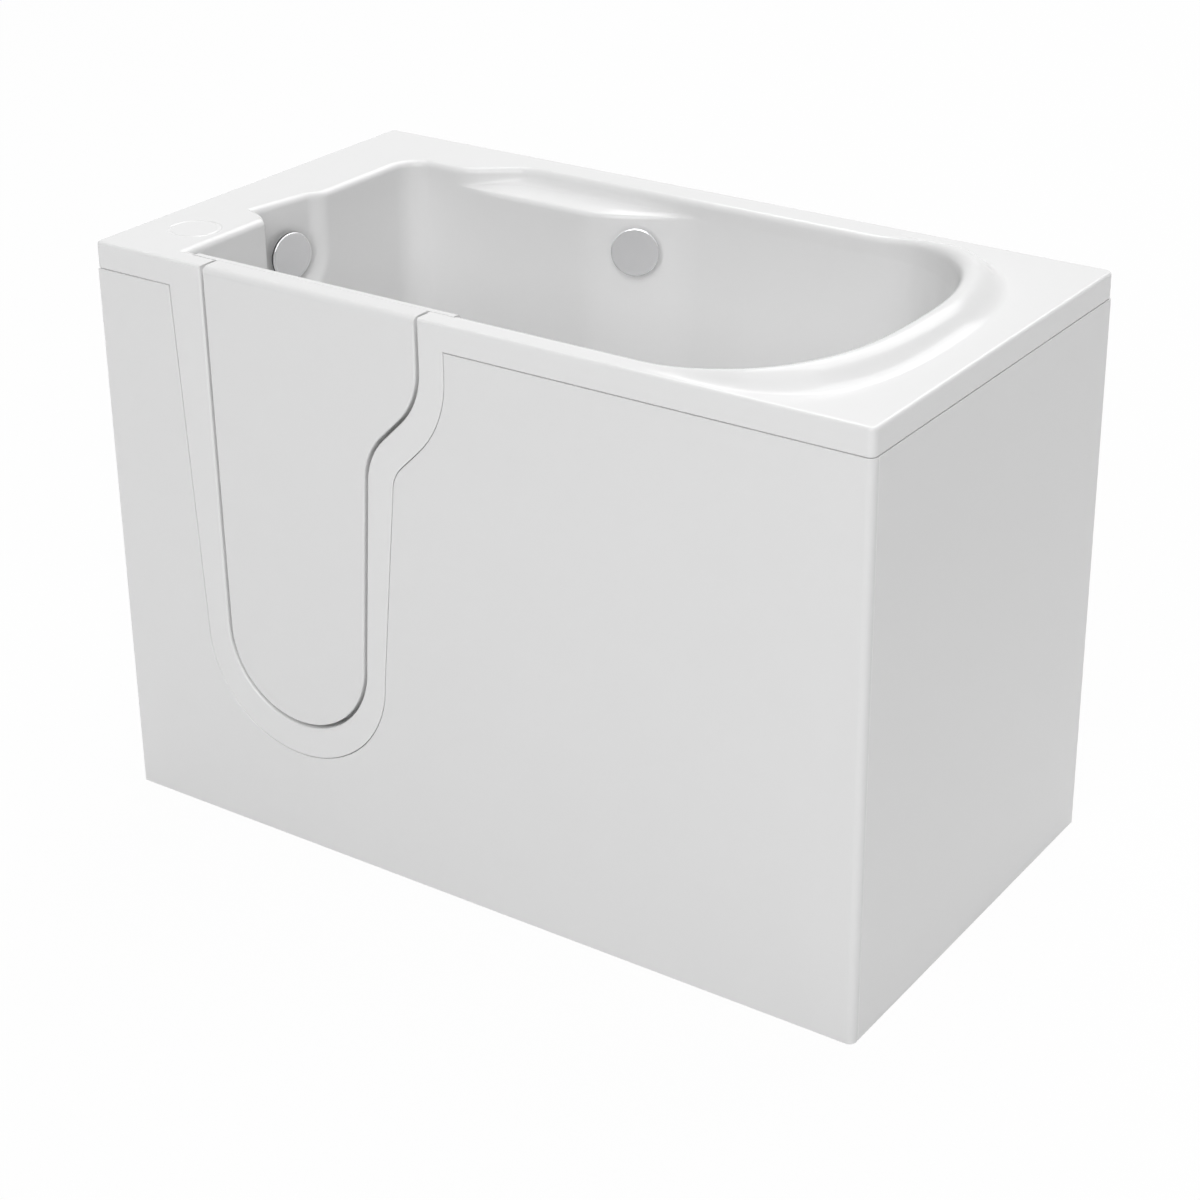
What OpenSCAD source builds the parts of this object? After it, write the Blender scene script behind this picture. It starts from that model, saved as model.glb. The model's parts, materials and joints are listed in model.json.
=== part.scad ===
// Compact walk-in bath: a moulded bowl with an inward-opening door in its front wall, on a levelling
// frame, with a front panel, an end panel, a knob-worked waste and an overflow filler.
// Drawn from the front left corner: x to the right, y to the back, z up, in mm.

/* [Bath] */
// length of the bath, left to right
bath_l = 1210; // [1180:10:1300]
// width of the bath, front to back
bath_w = 650; // [645:5:700]
// height of the flat deck above the floor
deck_h = 845; // [820:5:900]
// height of the turned-down lip
lip_h = 37; // [30:1:45]
// thickness of the moulded skin
skin_t = 5; // [4:0.5:6]
// radius of the deck's outer top edge
deck_r = 5; // [3:0.5:6]

/* [Bowl] */
// width of the front rim
rim_front = 40; // [38:1:46]
// width of the back rim
rim_back = 53; // [48:1:60]
// width of the left deck
rim_left = 120; // [116:1:124]
// width of the right deck
rim_right = 108; // [100:1:114]
// radius of the bowl's top edge
rim_r = 8; // [6:0.5:10]
// height of the foot well's floor
floor_h = 135; // [130:1:138]
// radius between the floor and the walls
floor_r = 40; // [30:1:50]
// radius between the floor and the front wall
toe_r = 15; // [8:1:15]
// radius of the upright corner at the back left
corner_r = 40; // [30:1:50]
// height of the seat
seat_h = 445; // [420:5:470]
// distance from the seat's front to the right end of the bath
seat_l = 490; // [460:5:520]
// lean of the back rest, mm for each mm of height
back_lean = 0.17; // [0.1:0.01:0.22]
// length of the rounded right end
round_l = 310; // [280:5:330]
// squareness of the rounded end's front half, 2 is an ellipse
round_front = 2.9; // [2.4:0.1:3.1]
// squareness of the rounded end's back half
round_back = 2.2; // [2:0.1:2.6]

/* [Headrest and armrest] */
// rise of the headrest above the deck
head_rise = 25; // [15:1:30]
// width of the headrest's outer slope at the right end
head_w = 56; // [45:1:60]
// width of that slope where it runs out on the long rims
head_side = 22; // [18:1:26]
// length over which the headrest rises
head_run = 220; // [180:5:240]
// depth of the armrest below the deck
arm_drop = 27; // [20:1:35]
// width of the armrest
arm_w = 57; // [45:1:65]
// start of the armrest from the left
arm_x = 210; // [205:1:230]
// length of the armrest's full-width stretch
arm_l = 220; // [190:5:240]
// length over which the armrest narrows to nothing
arm_taper = 170; // [140:5:200]

/* [Door] */
// left edge of the doorway
door_x = 190; // [186:1:196]
// width of the doorway at the top
door_w = 364; // [355:1:370]
// width of the doorway low down
door_foot_w = 248; // [240:1:256]
// height of the doorway's sill
sill_h = 191; // [188:1:200]
// gap around the door's outer leaf
door_gap = 5; // [4.8:0.1:6]
// lap of the door's inner leaf over the frame
door_lap = 36; // [30:1:37]
// thickness of the frame at the doorway
frame_t = 30; // [28:1:32]
// thickness of the door's inner leaf
liner_t = 15; // [12:1:16]

/* [Waste and filler] */
// diameter of the knob and of the filler's cover
disc_d = 70; // [60:1:74]
// drop of the knob's centre below the deck
knob_drop = 80; // [76:1:90]
// distance of the knob's centre from the front
knob_y = 278; // [276:1:284]
// turn of the niche towards the door, degrees
knob_turn = 10; // [4:1:12]
// width of the niche
niche_w = 134; // [120:1:136]
// depth of the niche
niche_d = 22; // [18:1:24]
// distance of the waste from the left
waste_x = 212; // [208:1:230]
// lift of the plug
plug_lift = 8; // [5:1:9]

/* [Frame and panels] */
// side of the square steel tube
tube = 25; // [20:1:25]
// height of the frame's underside
leg_h = 87; // [84:1:88]
// thickness of the boards under the bowl
board_t = 18; // [15:1:18]
// height of the panels above the floor
panel_foot = 2; // [1:0.5:6]
// gap between the lip and the panels
panel_gap = 2; // [1:0.5:3]

/* [Hidden] */
$fn = 64;
white = [0.93, 0.93, 0.92];
steel = [0.66, 0.67, 0.69];
chrome = [0.82, 0.83, 0.85];
black = [0.08, 0.08, 0.09];
timber = [0.72, 0.58, 0.42];
eps = 0.01;

// --- bowl ---------------------------------------------------------------------------------------
mid_y = (rim_front + bath_w - rim_back) / 2;      // the bowl's long centre line
round_x = bath_l - round_l;                        // where the rounded end begins
top_h = deck_h + head_rise;                        // the headrest's crest, the highest point
head_x = bath_l - round_l - 20;                    // where the crest leaves the deck
arm_y = bath_w - rim_back - arm_w;                 // front edge of the armrest
arm_ramp = 90;                                     // length over which the armrest opens
arm_z = deck_h - arm_drop;
floor_back = arm_y - 10;                           // the back wall where it meets the floor
seat_x = bath_l - seat_l;
seat_lean = 8;                                     // the seat's front leans this much
seat_bottom_r = 30;
seat_top_r = 25;
back_r = 50;                                       // radius between the seat and the back rest
left_draft = 2.5;                                  // the left wall's lean
lip_top = deck_h - lip_h;

// 0 below t = 0, 1 above t = 1, and a smooth S between
function ease(t) = let (c = min(max(t, 0), 1)) c * c * (3 - 2 * c);

function crest(x) = deck_h + head_rise * ease((x - head_x) / head_run);

// how far the wall has turned outwards at height z, under a rim at height top
function flare(z, top) =
    z <= top - rim_r ? 0 : rim_r - sqrt(max(0, rim_r * rim_r - pow(z - top + rim_r, 2)));

// the right end of the bowl at height z, on a surface o outside the bathing side
function end_x(z, top, o) =
    bath_l - rim_right - back_lean * max(0, top_h - z) + o * sqrt(1 + back_lean * back_lean)
    + flare(z, top);

// the share of the bowl's half width that is left at x, from 1 down to 0 at the end
function waist(x, z, top, o, n) =
    x <= round_x ? 1 :
    pow(max(0, 1 - pow((x - round_x) / (end_x(z, top, o) - round_x), n)), 1 / n);

function corner(x, o) =
    let (d = corner_r - min(corner_r, max(0, x - rim_left + o)))
    corner_r - sqrt(corner_r * corner_r - d * d);

// the back wall: share is 0 below the armrest and 1 above it
function back_y(x, z, share, o) =
    let (high = arm_y + arm_w * ease((x - arm_x) / arm_ramp),
         low = arm_y + arm_w * ease((x - arm_x - arm_l) / arm_taper),
         wall = low + (floor_back - low) * max(0, arm_z - z) / (arm_z - floor_h))
    wall + (high - wall) * share - corner(x, o);

// stations along the bowl's floor: x, height, and the outward normal in the plane y = const
function stations(o) =
    let (lean = atan(back_lean),
         seat_start = seat_x + seat_lean + seat_top_r,
         reach = back_r * tan((90 - lean) / 2),
         back_x = end_x(seat_h, top_h, 0) - reach,
         back_z = seat_h + reach * cos(lean),
         rim_h = o > 0 ? deck_h - 2 * skin_t : top_h - rim_r)
    concat(
        [for (a = o > 0 ? [] : [60, 30])
            [rim_left - rim_r * (1 - cos(a)), deck_h - rim_r * (1 - sin(a)), -1, 0]],
        [[rim_left, deck_h - (o > 0 ? 2 * skin_t : rim_r), -1, 0]],
        [for (a = [0, 30, 60, 90])
            [rim_left + left_draft + floor_r * (1 - cos(a)), floor_h + floor_r * (1 - sin(a)),
             -cos(a), -sin(a)]],
        [for (t = [-0.4, 0, 0.25, 0.5, 0.75, 1]) [arm_x + arm_ramp * t, floor_h, 0, -1]],
        [for (t = [0, 0.2, 0.4, 0.6, 0.8, 1]) [arm_x + arm_l + arm_taper * t, floor_h, 0, -1]],
        [for (a = [0, 30, 60, 90])
            [seat_x - seat_bottom_r * (1 - sin(a)), floor_h + seat_bottom_r * (1 - cos(a)),
             sin(a), -cos(a)]],
        [for (a = [0, 30, 60, 90])
            [seat_start - seat_top_r * cos(a), seat_h - seat_top_r * (1 - sin(a)), cos(a), -sin(a)]],
        [for (t = [0, 0.4, 0.75]) [round_x + (back_x - round_x) * t, seat_h, 0, -1]],
        [for (a = [0, 20, 40, 60])
            [back_x + back_r * sin(a), seat_h + back_r * (1 - cos(a)), sin(a), -cos(a)]],
        [for (t = [0, 0.12, 0.25, 0.4, 0.6, 0.8, 1])
            let (z = back_z + (rim_h - back_z) * t)
            [end_x(z, o > 0 ? top_h + rim_r : top_h, 0), z, cos(lean), -sin(lean)]],
        [for (a = o > 0 ? [] : [35, 65])
            let (z = top_h - rim_r * (1 - sin(a))) [end_x(z, top_h, 0), z, 0, -1]]);

// one cross-section of the bowl, as a closed loop from the top of the front wall to the top of the back
function section(p, o) =
    let (x = p[0] + o * p[2], low = p[1] + o * p[3],
         top = o > 0 ? deck_h - skin_t / 2 : crest(x),
         span = top - low,
         r_rim = o > 0 ? 0 : min(rim_r, 0.4 * span),
         wall_top = top - r_rim,
         thin = 1.5,
         shrink = min(1, max(thin, (mid_y - rim_front) * waist(x, low, top, o, round_front)) / (2 * floor_r)),
         r_toe = min(toe_r + o, 0.3 * span), r_heel = min(floor_r + o, 0.3 * span),
         above = o > 0 ? [] : [top_h + 2 * rim_r],
         rims = o > 0 ? [top] : [for (a = [90, 60, 30, 0]) top - r_rim * (1 - sin(a))],
         arm = max(arm_z - o, low + r_heel + 0.55 * (wall_top - low - r_heel)),
         arm_step = min(1, (wall_top - arm) / 12),
         front = function (z, inset)
             [x, mid_y - max(thin, (mid_y - rim_front + flare(min(z, top), top) + o)
                                   * waist(x, min(z, top), top, o, round_front) - inset), z],
         back = function (z, share, inset)
             [x, mid_y + max(thin, (back_y(x, z, share, o) - mid_y + flare(min(z, top), top) + o)
                                   * waist(x, min(z, top), top, o, round_back) - inset), z])
    concat(
        [for (z = concat(above, rims)) front(z, 0)],
        [for (v = [0.8, 0.55, 0.3, 0.12]) front(low + r_toe + (wall_top - low - r_toe) * v, 0)],
        [for (a = [0, 30, 60, 90]) front(low + r_toe * (1 - sin(a)), r_toe * (1 - cos(a)) * shrink)],
        [for (a = [90, 60, 30, 0])
            back(low + r_heel * (1 - sin(a)), 0, r_heel * (1 - cos(a)) * shrink)],
        [for (v = [0.2, 0.5]) back(low + r_heel + (arm - 6 * arm_step - low - r_heel) * v, 0, 0)],
        [for (s = [[0, -6], [0.03, -1.5], [0.12, 0], [0.85, 4]]) back(arm + s[1] * arm_step, s[0], 0)],
        [for (i = [1:len(rims)]) back(rims[len(rims) - i], 1, 0)],
        [for (z = above) back(z, 1, 0)]);

function middle(loop) = [for (k = [0:2]) [for (p = loop) p[k]] * [for (p = loop) 1] / len(loop)];

// a solid through equal-length loops of points, closed by a fan over each end loop
module loft(loops) {
    n = len(loops);
    m = len(loops[0]);
    polyhedron(
        concat([for (l = loops) each l], [middle(loops[0]), middle(loops[n - 1])]),
        concat(
            [for (i = [0:n - 2], j = [0:m - 1]) let (a = i * m + j, b = i * m + (j + 1) % m)
                each [[a, b + m, b], [a, a + m, b + m]]],
            [for (j = [0:m - 1]) [n * m, j, (j + 1) % m]],
            [for (j = [0:m - 1]) [n * m + 1, (n - 1) * m + (j + 1) % m, (n - 1) * m + j]]),
        convexity = 8);
}

module bowl(o) loft([for (p = stations(o)) section(p, o)]);

// --- door outline -------------------------------------------------------------------------------
// Each outline runs down a left side, round a half ellipse and up a right side that leans, then
// swings outwards through two arcs. It is [left top, left low, right low, right mid, right top,
// bottom, where the ellipse starts, where the swing starts, first radius, second radius].
swing_h = deck_h - 251;                            // where the doorway starts to widen
door_left = door_x + 5;
doorway = [door_x, door_left, door_left + door_foot_w, door_left + door_foot_w + 18,
           door_x + door_w, sill_h, sill_h + 125, swing_h, 98, 113];
band = [door_x - 58, door_left - 37, door_left + door_foot_w + 31, door_left + door_foot_w + 60,
        door_x + door_w + 40, sill_h - 46, sill_h + 111, swing_h, 52, 155];
arc_step = 15;
swing_a = 45;

// the outline d, moved inwards by o and cut off at height top, as [x, z] points
function outline(d, o, top) =
    let (cx = (d[1] + d[2]) / 2, rx = (d[2] - d[1]) / 2 - o, rz = d[6] - d[5] - o,
         rise = (d[8] + d[9]) * sin(swing_a),
         slant = d[4] - d[3] - (d[8] + d[9]) * (1 - cos(swing_a)),
         z2 = d[7] + rise + slant)
    concat(
        [[d[0] + o, top]],
        [for (a = [180:arc_step:360]) [cx + rx * cos(a), d[6] + rz * sin(a)]],
        [for (a = [0:arc_step:swing_a])
            [d[3] + d[8] - (d[8] + o) * cos(a), d[7] + (d[8] + o) * sin(a)]],
        [for (a = [swing_a:-arc_step:0])
            [d[4] - d[9] + (d[9] - o) * cos(a), z2 - (d[9] - o) * sin(a)]],
        [[d[4] - o, top]]);

// the outline as a slab from y0 to y1
module slab(d, o, top, y0, y1)
    translate([0, y1, 0]) rotate([90, 0, 0]) linear_extrude(y1 - y0) polygon(outline(d, o, top));

// depth y into a rounded edge of radius r, as the amount that the edge has fallen back
function fall(y, r) = y >= r ? 0 : r - sqrt(r * r - pow(r - y, 2));

// --- places that several pieces share ------------------------------------------------------------
jamb_x = rim_left + 12;                            // the hinge side of the doorway, inside the bowl
jamb_l = 205;
liner_y = frame_t + 2;                             // front face of the door's inner leaf
liner_back = liner_y + liner_t;
play = 0.05;                                       // radial clearance of a turning shaft
knuckle_r = 6;
knuckle_l = 22;
pin_r = 3;
leaf_t = 3;
hinge_x = door_x - 43;
hinge_y = liner_back + knuckle_r;
hinge_z = [sill_h + 125, deck_h - 170];            // lower and upper hinge, at the knuckles' foot
spindle_r = 5;
latch_x = door_x + door_w + 6;
latch_z = deck_h - 68;
knob_z = deck_h - knob_drop;
niche_x = rim_left - niche_d;
disc_t = 6;
disc_gap = 8;                                      // the discs stand this far off their walls
hub_r = 20;
filler_x = arm_x + arm_l + 80;
filler_z = deck_h - 78;
filler_t = (filler_x - arm_x - arm_l) / arm_taper; // its place along the armrest's taper
filler_turn = atan(6 * filler_t * (1 - filler_t) * arm_w / arm_taper);
filler_y = back_y(filler_x, filler_z, 0, 0);
waste_y = knob_y;
waste_r = 26;
rail_top = leg_h + tube;
board_z = floor_h - skin_t - board_t;
rail_in = 20;                                      // the frame stands this far in from the ends
rail_front = 40;                                   // and this far behind the front
rail_back = bath_w - 12 - tube;

// local z looks out of the niche's back wall
module at_knob() translate([niche_x, knob_y, knob_z]) rotate([0, 90, -knob_turn]) children();
// local z looks out of the back wall, towards the bather
module at_filler() {
    wall_lean = atan((arm_y + arm_w / 2 - floor_back) / (arm_z - floor_h));
    translate([filler_x, filler_y, filler_z]) rotate([90 - wall_lean, 0, filler_turn]) children();
}
module at_waste(z) translate([waste_x, waste_y, z]) children();
module at_latch(y) translate([latch_x, y, latch_z]) children();

// --- moulded bath -------------------------------------------------------------------------------
function ring_corner(r, inset, z) =
    [for (c = [[1, 1, 0], [0, 1, 90], [0, 0, 180], [1, 0, 270]], a = [0:22.5:90])
        [(c[0] == 1 ? bath_l - r : r) + (r - inset) * cos(c[2] + a),
         (c[1] == 1 ? bath_w - r : r) + (r - inset) * sin(c[2] + a), z]];

module deck() {
    plan_r = 10;
    difference() {
        loft(concat(
            [ring_corner(plan_r, 0, lip_top)],
            [for (a = [0, 30, 60, 90])
                ring_corner(plan_r, deck_r * (1 - cos(a)), deck_h - deck_r * (1 - sin(a)))]));
        translate([skin_t, skin_t, lip_top - 1])
            cube([bath_l - 2 * skin_t, bath_w - 2 * skin_t, lip_h + 1 - skin_t]);
    }
}

// the raised roll round the right end, as a ring of sections from the front rim to the back rim
module headrest() {
    half_l = bath_l - rim_right + rim_r - round_x;
    half_w = mid_y - rim_front + rim_r;
    inner = 14;
    loft([for (a = [-90:7.5:90])
        let (n = a < 0 ? round_front : round_back,
             spot = function (o)
                 [round_x + (half_l + o) * pow(max(0, cos(a)), 2 / n),
                  mid_y + (half_w + o) * sign(a) * pow(abs(sin(a)), 2 / n)],
             slope = head_side + (head_w - head_side) * ease(cos(a)),
             rise = crest(spot(0)[0]) - deck_h)
        concat(
            [[each spot(slope), deck_h - 2], [each spot(-inner), deck_h - 2],
             [each spot(-inner), deck_h + rise]],
            [for (t = [0, 0.2, 0.4, 0.6, 0.8, 1])
                [each spot(slope * t), deck_h + rise * (1 + cos(180 * t)) / 2]])]);
}

module door_frame() slab(band, 0, deck_h - skin_t / 2, 0, rim_front);

module niche(o)
    at_knob() translate([0, 0, -o]) linear_extrude(3 * niche_d) {
        circle(niche_w / 2 + o);
        translate([-knob_drop - (o > 0 ? -skin_t / 2 : 2 * rim_r), -niche_w / 2 - o])
            square([knob_drop + 2 * rim_r, niche_w + 2 * o]);
    }

// the post that carries the hinges, with a rounded end and a foot that follows the floor's edge
module jamb() {
    end_r = 8;
    intersection() {
        translate([0, jamb_l, 0]) rotate([90, 0, 0]) linear_extrude(jamb_l - rim_front + skin_t / 2)
            polygon([[rim_left - 2, deck_h], [jamb_x, deck_h], [jamb_x, floor_h + 0.35 * floor_r],
                     [jamb_x - skin_t, floor_h + 0.5 * floor_r], [rim_left - 2, floor_h + floor_r + 5]]);
        linear_extrude(deck_h) {
            square([jamb_x, jamb_l - end_r]);
            square([jamb_x - end_r, jamb_l]);
            translate([jamb_x - end_r, jamb_l - end_r]) circle(end_r);
        }
    }
}

module tap_ring() {
    ring_r = 35;
    translate([78, 115, deck_h - 0.8]) difference() {
        cylinder(r = ring_r, h = 2);
        translate([0, 0, -1]) cylinder(r = ring_r - 4, h = 4);
    }
}

module bath_shell() color(white) difference() {
    union() {
        difference() {
            union() {
                deck();
                headrest();
                bowl(skin_t);
                door_frame();
                intersection() {
                    niche(skin_t);
                    cube([jamb_x - 2, bath_w, deck_h - skin_t / 2]);
                }
            }
            bowl(0);
        }
        jamb();
    }
    niche(0);
    slab(doorway, 0, deck_h + 1, -1, frame_t + 1);
    slab(doorway, -door_lap - 3, deck_h + 1, frame_t, rim_front + 1);
    tap_ring();
    at_knob() translate([0, 0, -2 * skin_t]) cylinder(r = hub_r - 2, h = 3 * skin_t);
    at_filler() translate([0, 0, -4 * skin_t]) cylinder(r = hub_r, h = 8 * skin_t);
    at_waste(floor_h - 2 * skin_t) cylinder(r = waste_r, h = 3 * skin_t);
}

// --- door ---------------------------------------------------------------------------------------
module door_outer_leaf() {
    edge_r = 3;
    top_r = 11;
    color(white) loft([for (y = [0, 0.4, 1.4, edge_r, 7, top_r, liner_y])
        [for (p = outline(doorway, door_gap + fall(y, edge_r), deck_h - fall(y, top_r)))
            [p[0], y, p[1]]]]);
}

module door_inner_leaf() {
    edge_r = 5;
    top_r = 8;
    color(white) difference() {
        loft([for (y = [liner_t, top_r, edge_r, 2, 0.6, 0])
            [for (p = outline(doorway, fall(y, edge_r) - door_lap, deck_h - fall(y, top_r)))
                [p[0], liner_back - y, p[1]]]]);
        at_latch(liner_back - leaf_t) rotate([-90, 0, 0]) cylinder(r = spindle_r + play, h = 2 * leaf_t);
    }
}

// a flat gasket round the door's two sides and the sill, which the water presses on the frame
module door_seal() {
    outer = 4 - door_lap;
    inner = -door_lap / 2;
    seal_top = deck_h - 24;
    color(black) difference() {
        slab(doorway, outer, seal_top, frame_t + 0.2, liner_y);
        slab(doorway, inner, seal_top + 1, frame_t - 1, liner_y + 1);
    }
}

// --- hinges -------------------------------------------------------------------------------------
// Local z runs up the pin, local x to the doorway and local y into the bowl. The knuckles sit one
// above the other: the wall leaf has the first and the last, the door leaf the middle one.
knuckle_gap = 0.3;
barrel_l = 3 * knuckle_l;
module at_hinge(i) translate([hinge_x, hinge_y, hinge_z[i]]) children();
module knuckle(step) translate([0, 0, step * knuckle_l]) cylinder(r = knuckle_r, h = knuckle_l - knuckle_gap);

module hinge_wall_leaf(i) {
    leaf_l = 36;
    reach = hinge_x - jamb_x;
    color(steel) at_hinge(i) difference() {
        union() {
            for (step = [0, 2]) {
                knuckle(step);
                translate([-reach, -knuckle_r, step * knuckle_l])
                    cube([reach, leaf_t, knuckle_l - knuckle_gap]);
            }
            translate([-reach, -knuckle_r, 0]) cube([leaf_t, leaf_l, barrel_l - knuckle_gap]);
        }
        translate([0, 0, -1]) cylinder(r = pin_r, h = barrel_l + 2);
    }
}

module hinge_door_leaf(i) {
    leaf_l = 42;
    plate_in = knuckle_r + 5;
    color(steel) at_hinge(i) difference() {
        union() {
            knuckle(1);
            translate([0, -knuckle_r, knuckle_l]) cube([leaf_l, leaf_t, knuckle_l - knuckle_gap]);
            translate([plate_in, -knuckle_r, -4]) cube([leaf_l - plate_in, leaf_t, barrel_l + 8]);
        }
        cylinder(r = pin_r + play, h = barrel_l);
    }
}

module hinge_pin(i) color(chrome) at_hinge(i) {
    head_r = pin_r + 2;
    cylinder(r = pin_r, h = barrel_l - knuckle_gap);
    translate([0, 0, barrel_l - knuckle_gap]) cylinder(r = head_r, h = 3);
    translate([0, 0, -3]) cylinder(r = head_r, h = 3);
}

// --- latch --------------------------------------------------------------------------------------
// At rest the lever lies level and the tongue hangs down, clear of the keeper, so the door can swing.
tongue_y = liner_back + 4;
tongue_t = 5;
tongue_l = 58;
lever_y = tongue_y + tongue_t + 2;

// a flat bar with round ends along x, t thick along y
module bar(l, w0, w1, t) rotate([-90, 0, 0]) {
    cylinder(r = w0, h = t);
    linear_extrude(t) polygon([[0, w0], [l, w1], [l, -w1], [0, -w0]]);
    translate([l, 0, 0]) cylinder(r = w1, h = t);
}

module latch_rose() color(chrome) at_latch(liner_back) rotate([-90, 0, 0]) difference() {
    cylinder(r = 22, h = tongue_y - liner_back - 0.5);
    translate([0, 0, -1]) cylinder(r = spindle_r + play, h = tongue_y);
}

module latch_tongue() color(steel) at_latch(tongue_y) rotate([0, 90, 0]) difference() {
    bar(tongue_l - 8, 11, 8, tongue_t);
    rotate([-90, 0, 0]) translate([0, 0, -1]) cylinder(r = spindle_r, h = tongue_t + 2);
}

module latch_spindle() color(steel) at_latch(liner_back - leaf_t + 0.3) rotate([-90, 0, 0])
    cylinder(r = spindle_r, h = lever_y + leaf_t - liner_back - 0.3);

module latch_lever() color(chrome) at_latch(lever_y) rotate([0, 180, 0]) bar(105, 12, 7, 9);

// a stepped hook on the frame, which the tongue turns up behind
module latch_keeper() {
    height = 34;
    foot_l = 26;
    hook_x = door_x + door_w + door_lap + 7;       // clear of the swinging leaf's edge
    edge_x = latch_x + tongue_l + 5;
    hook_y = tongue_y + tongue_t + 1.5;
    color(steel) translate([0, 0, latch_z - height / 2]) {
        translate([edge_x, rim_front, 0]) cube([leaf_t, hook_y + leaf_t - rim_front, height]);
        translate([edge_x, rim_front, 0]) cube([foot_l, leaf_t, height]);
        translate([hook_x, hook_y, 0]) cube([edge_x + leaf_t - hook_x, leaf_t, height]);
    }
}

// --- panels -------------------------------------------------------------------------------------
wrap_r = 10;                                       // the front panel turns the right-hand corner
wrap_l = 14;                                       // and ends this far back
panel_top = lip_top - panel_gap;
batten_t = 16;
batten_z = 20;
batten_h = 42;

module panel_plan() {
    left = 3;
    square_x = bath_l - wrap_r;
    translate([left, 0]) square([square_x - left, skin_t]);
    translate([bath_l - skin_t, wrap_r]) square([skin_t, wrap_l - wrap_r]);
    intersection() {
        translate([square_x, 0]) square(wrap_r);
        difference() {
            translate([square_x, wrap_r]) circle(wrap_r);
            translate([square_x, wrap_r]) circle(wrap_r - skin_t);
        }
    }
}

module front_panel() color(white) difference() {
    translate([0, 0, panel_foot]) linear_extrude(panel_top - panel_foot) panel_plan();
    slab(band, -panel_gap, deck_h, -1, skin_t + 1);
}

// the end panel, whose back edge is rounded on the outside
module end_panel() color(white) {
    start = wrap_l + 0.5;
    translate([bath_l - skin_t, 0, panel_foot]) linear_extrude(panel_top - panel_foot) {
        translate([0, start]) square([skin_t, bath_w - skin_t - start]);
        intersection() {
            translate([0, bath_w - skin_t]) circle(skin_t);
            translate([0, bath_w - skin_t]) square(skin_t);
        }
    }
}

module front_batten() color(timber)
    translate([60, skin_t, batten_z]) cube([bath_l - 120, batten_t, batten_h]);

module end_batten() color(timber)
    translate([bath_l - skin_t - batten_t, 60, batten_z]) cube([batten_t, bath_w - 120, batten_h]);

// an angle from the back of a batten to the underside of a rail
module bracket(reach) {
    width = 34;
    sheet = 2.5;
    foot = batten_z + 4;
    translate([-width / 2, 0, foot]) cube([width, sheet, leg_h - foot]);
    translate([-width / 2, 0, leg_h - sheet]) cube([width, reach, sheet]);
}

module front_bracket(i) color(steel)
    translate([[250, bath_l - 250][i], skin_t + batten_t, 0])
        bracket(rail_front + tube - skin_t - batten_t);

module end_bracket(i) color(steel)
    translate([bath_l - skin_t - batten_t, [150, bath_w - 150][i], 0]) rotate([0, 0, 90])
        bracket(rail_in + tube - skin_t - batten_t);

// --- frame --------------------------------------------------------------------------------------
rail_right = bath_l - rail_in - tube;
post_in = 40;                                      // the seat posts' distances from the seat's ends
post_end = 195;
post_front = 150;
post_back = 220;
seat_post_x = [seat_x + post_in, rail_right - post_end];
cross_in = 125;                                    // the cross tubes under the foot well and the seat
cross_mid = 400;
cross_back = 65;
cross_x = [cross_in, cross_mid, seat_x - cross_back, seat_post_x[0], seat_post_x[1]];

module hollow_tube(size, wall = 2) {
    long = max(size);
    inner = [for (v = size) v == long ? v + 2 : v - 2 * wall];
    shift = [for (v = size) v == long ? -1 : wall];
    difference() {
        cube(size);
        translate(shift) cube(inner);
    }
}

module base_frame() color(steel) translate([0, 0, leg_h]) {
    ring_l = bath_l - 2 * rail_in;
    between = rail_back - rail_front - tube;
    for (y = [rail_front, rail_back]) translate([rail_in, y, 0]) hollow_tube([ring_l, tube, tube]);
    for (x = concat([rail_in, rail_right], cross_x))
        translate([x, rail_front + tube, 0]) hollow_tube([tube, between, tube]);
}

module upright(i) color(steel)
    translate([i % 2 == 0 ? rail_in : rail_right, i < 2 ? rail_front : rail_back, rail_top])
        hollow_tube([tube, tube, deck_h - skin_t - rail_top]);

seat_board_z = seat_h - skin_t - board_t;
seat_board_lap = 5;                                // the seat board's overhangs over its posts
seat_board_over = 40;
module seat_post(i) color(steel)
    translate([seat_post_x[i % 2], i < 2 ? post_front : bath_w - post_back, rail_top])
        hollow_tube([tube, tube, seat_board_z - rail_top]);

module seat_board() color(timber)
    translate([seat_post_x[0] - seat_board_lap, post_front - seat_board_over, seat_board_z])
        cube([seat_post_x[1] - seat_post_x[0] + tube + 4 * seat_board_lap,
              bath_w - post_front - post_back + tube + seat_board_over, board_t]);

base_board_in = 8;
base_board_back = 30;
waste_clear = 46;
module base_board() color(timber) difference() {
    translate([cross_x[0], rail_front + tube + base_board_in, board_z])
        cube([cross_x[2] + tube - cross_x[0], floor_back - rail_front - tube - base_board_back, board_t]);
    at_waste(board_z - 1) cylinder(r = waste_clear, h = board_t + 2);
}

stud_r = 5;
foot_h = 12;
nut_h = 9;
module at_leg(i) {
    x = [rail_in, (bath_l - tube) / 2, rail_right][i % 3];
    y = i < 3 ? rail_front : rail_back;
    translate([x + tube / 2, y + tube / 2, 0]) children();
}

module foot(i) color(black) at_leg(i) {
    cylinder(r = 24, h = foot_h / 2);
    translate([0, 0, foot_h / 2]) cylinder(r1 = 24, r2 = 12, h = foot_h / 2);
}

// a threaded stud with its lock nut under the rail
module stud(i) color(steel) at_leg(i) {
    translate([0, 0, foot_h]) cylinder(r = stud_r, h = leg_h - foot_h);
    translate([0, 0, leg_h - nut_h]) linear_extrude(nut_h) circle(10, $fn = 6);
}

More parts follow.
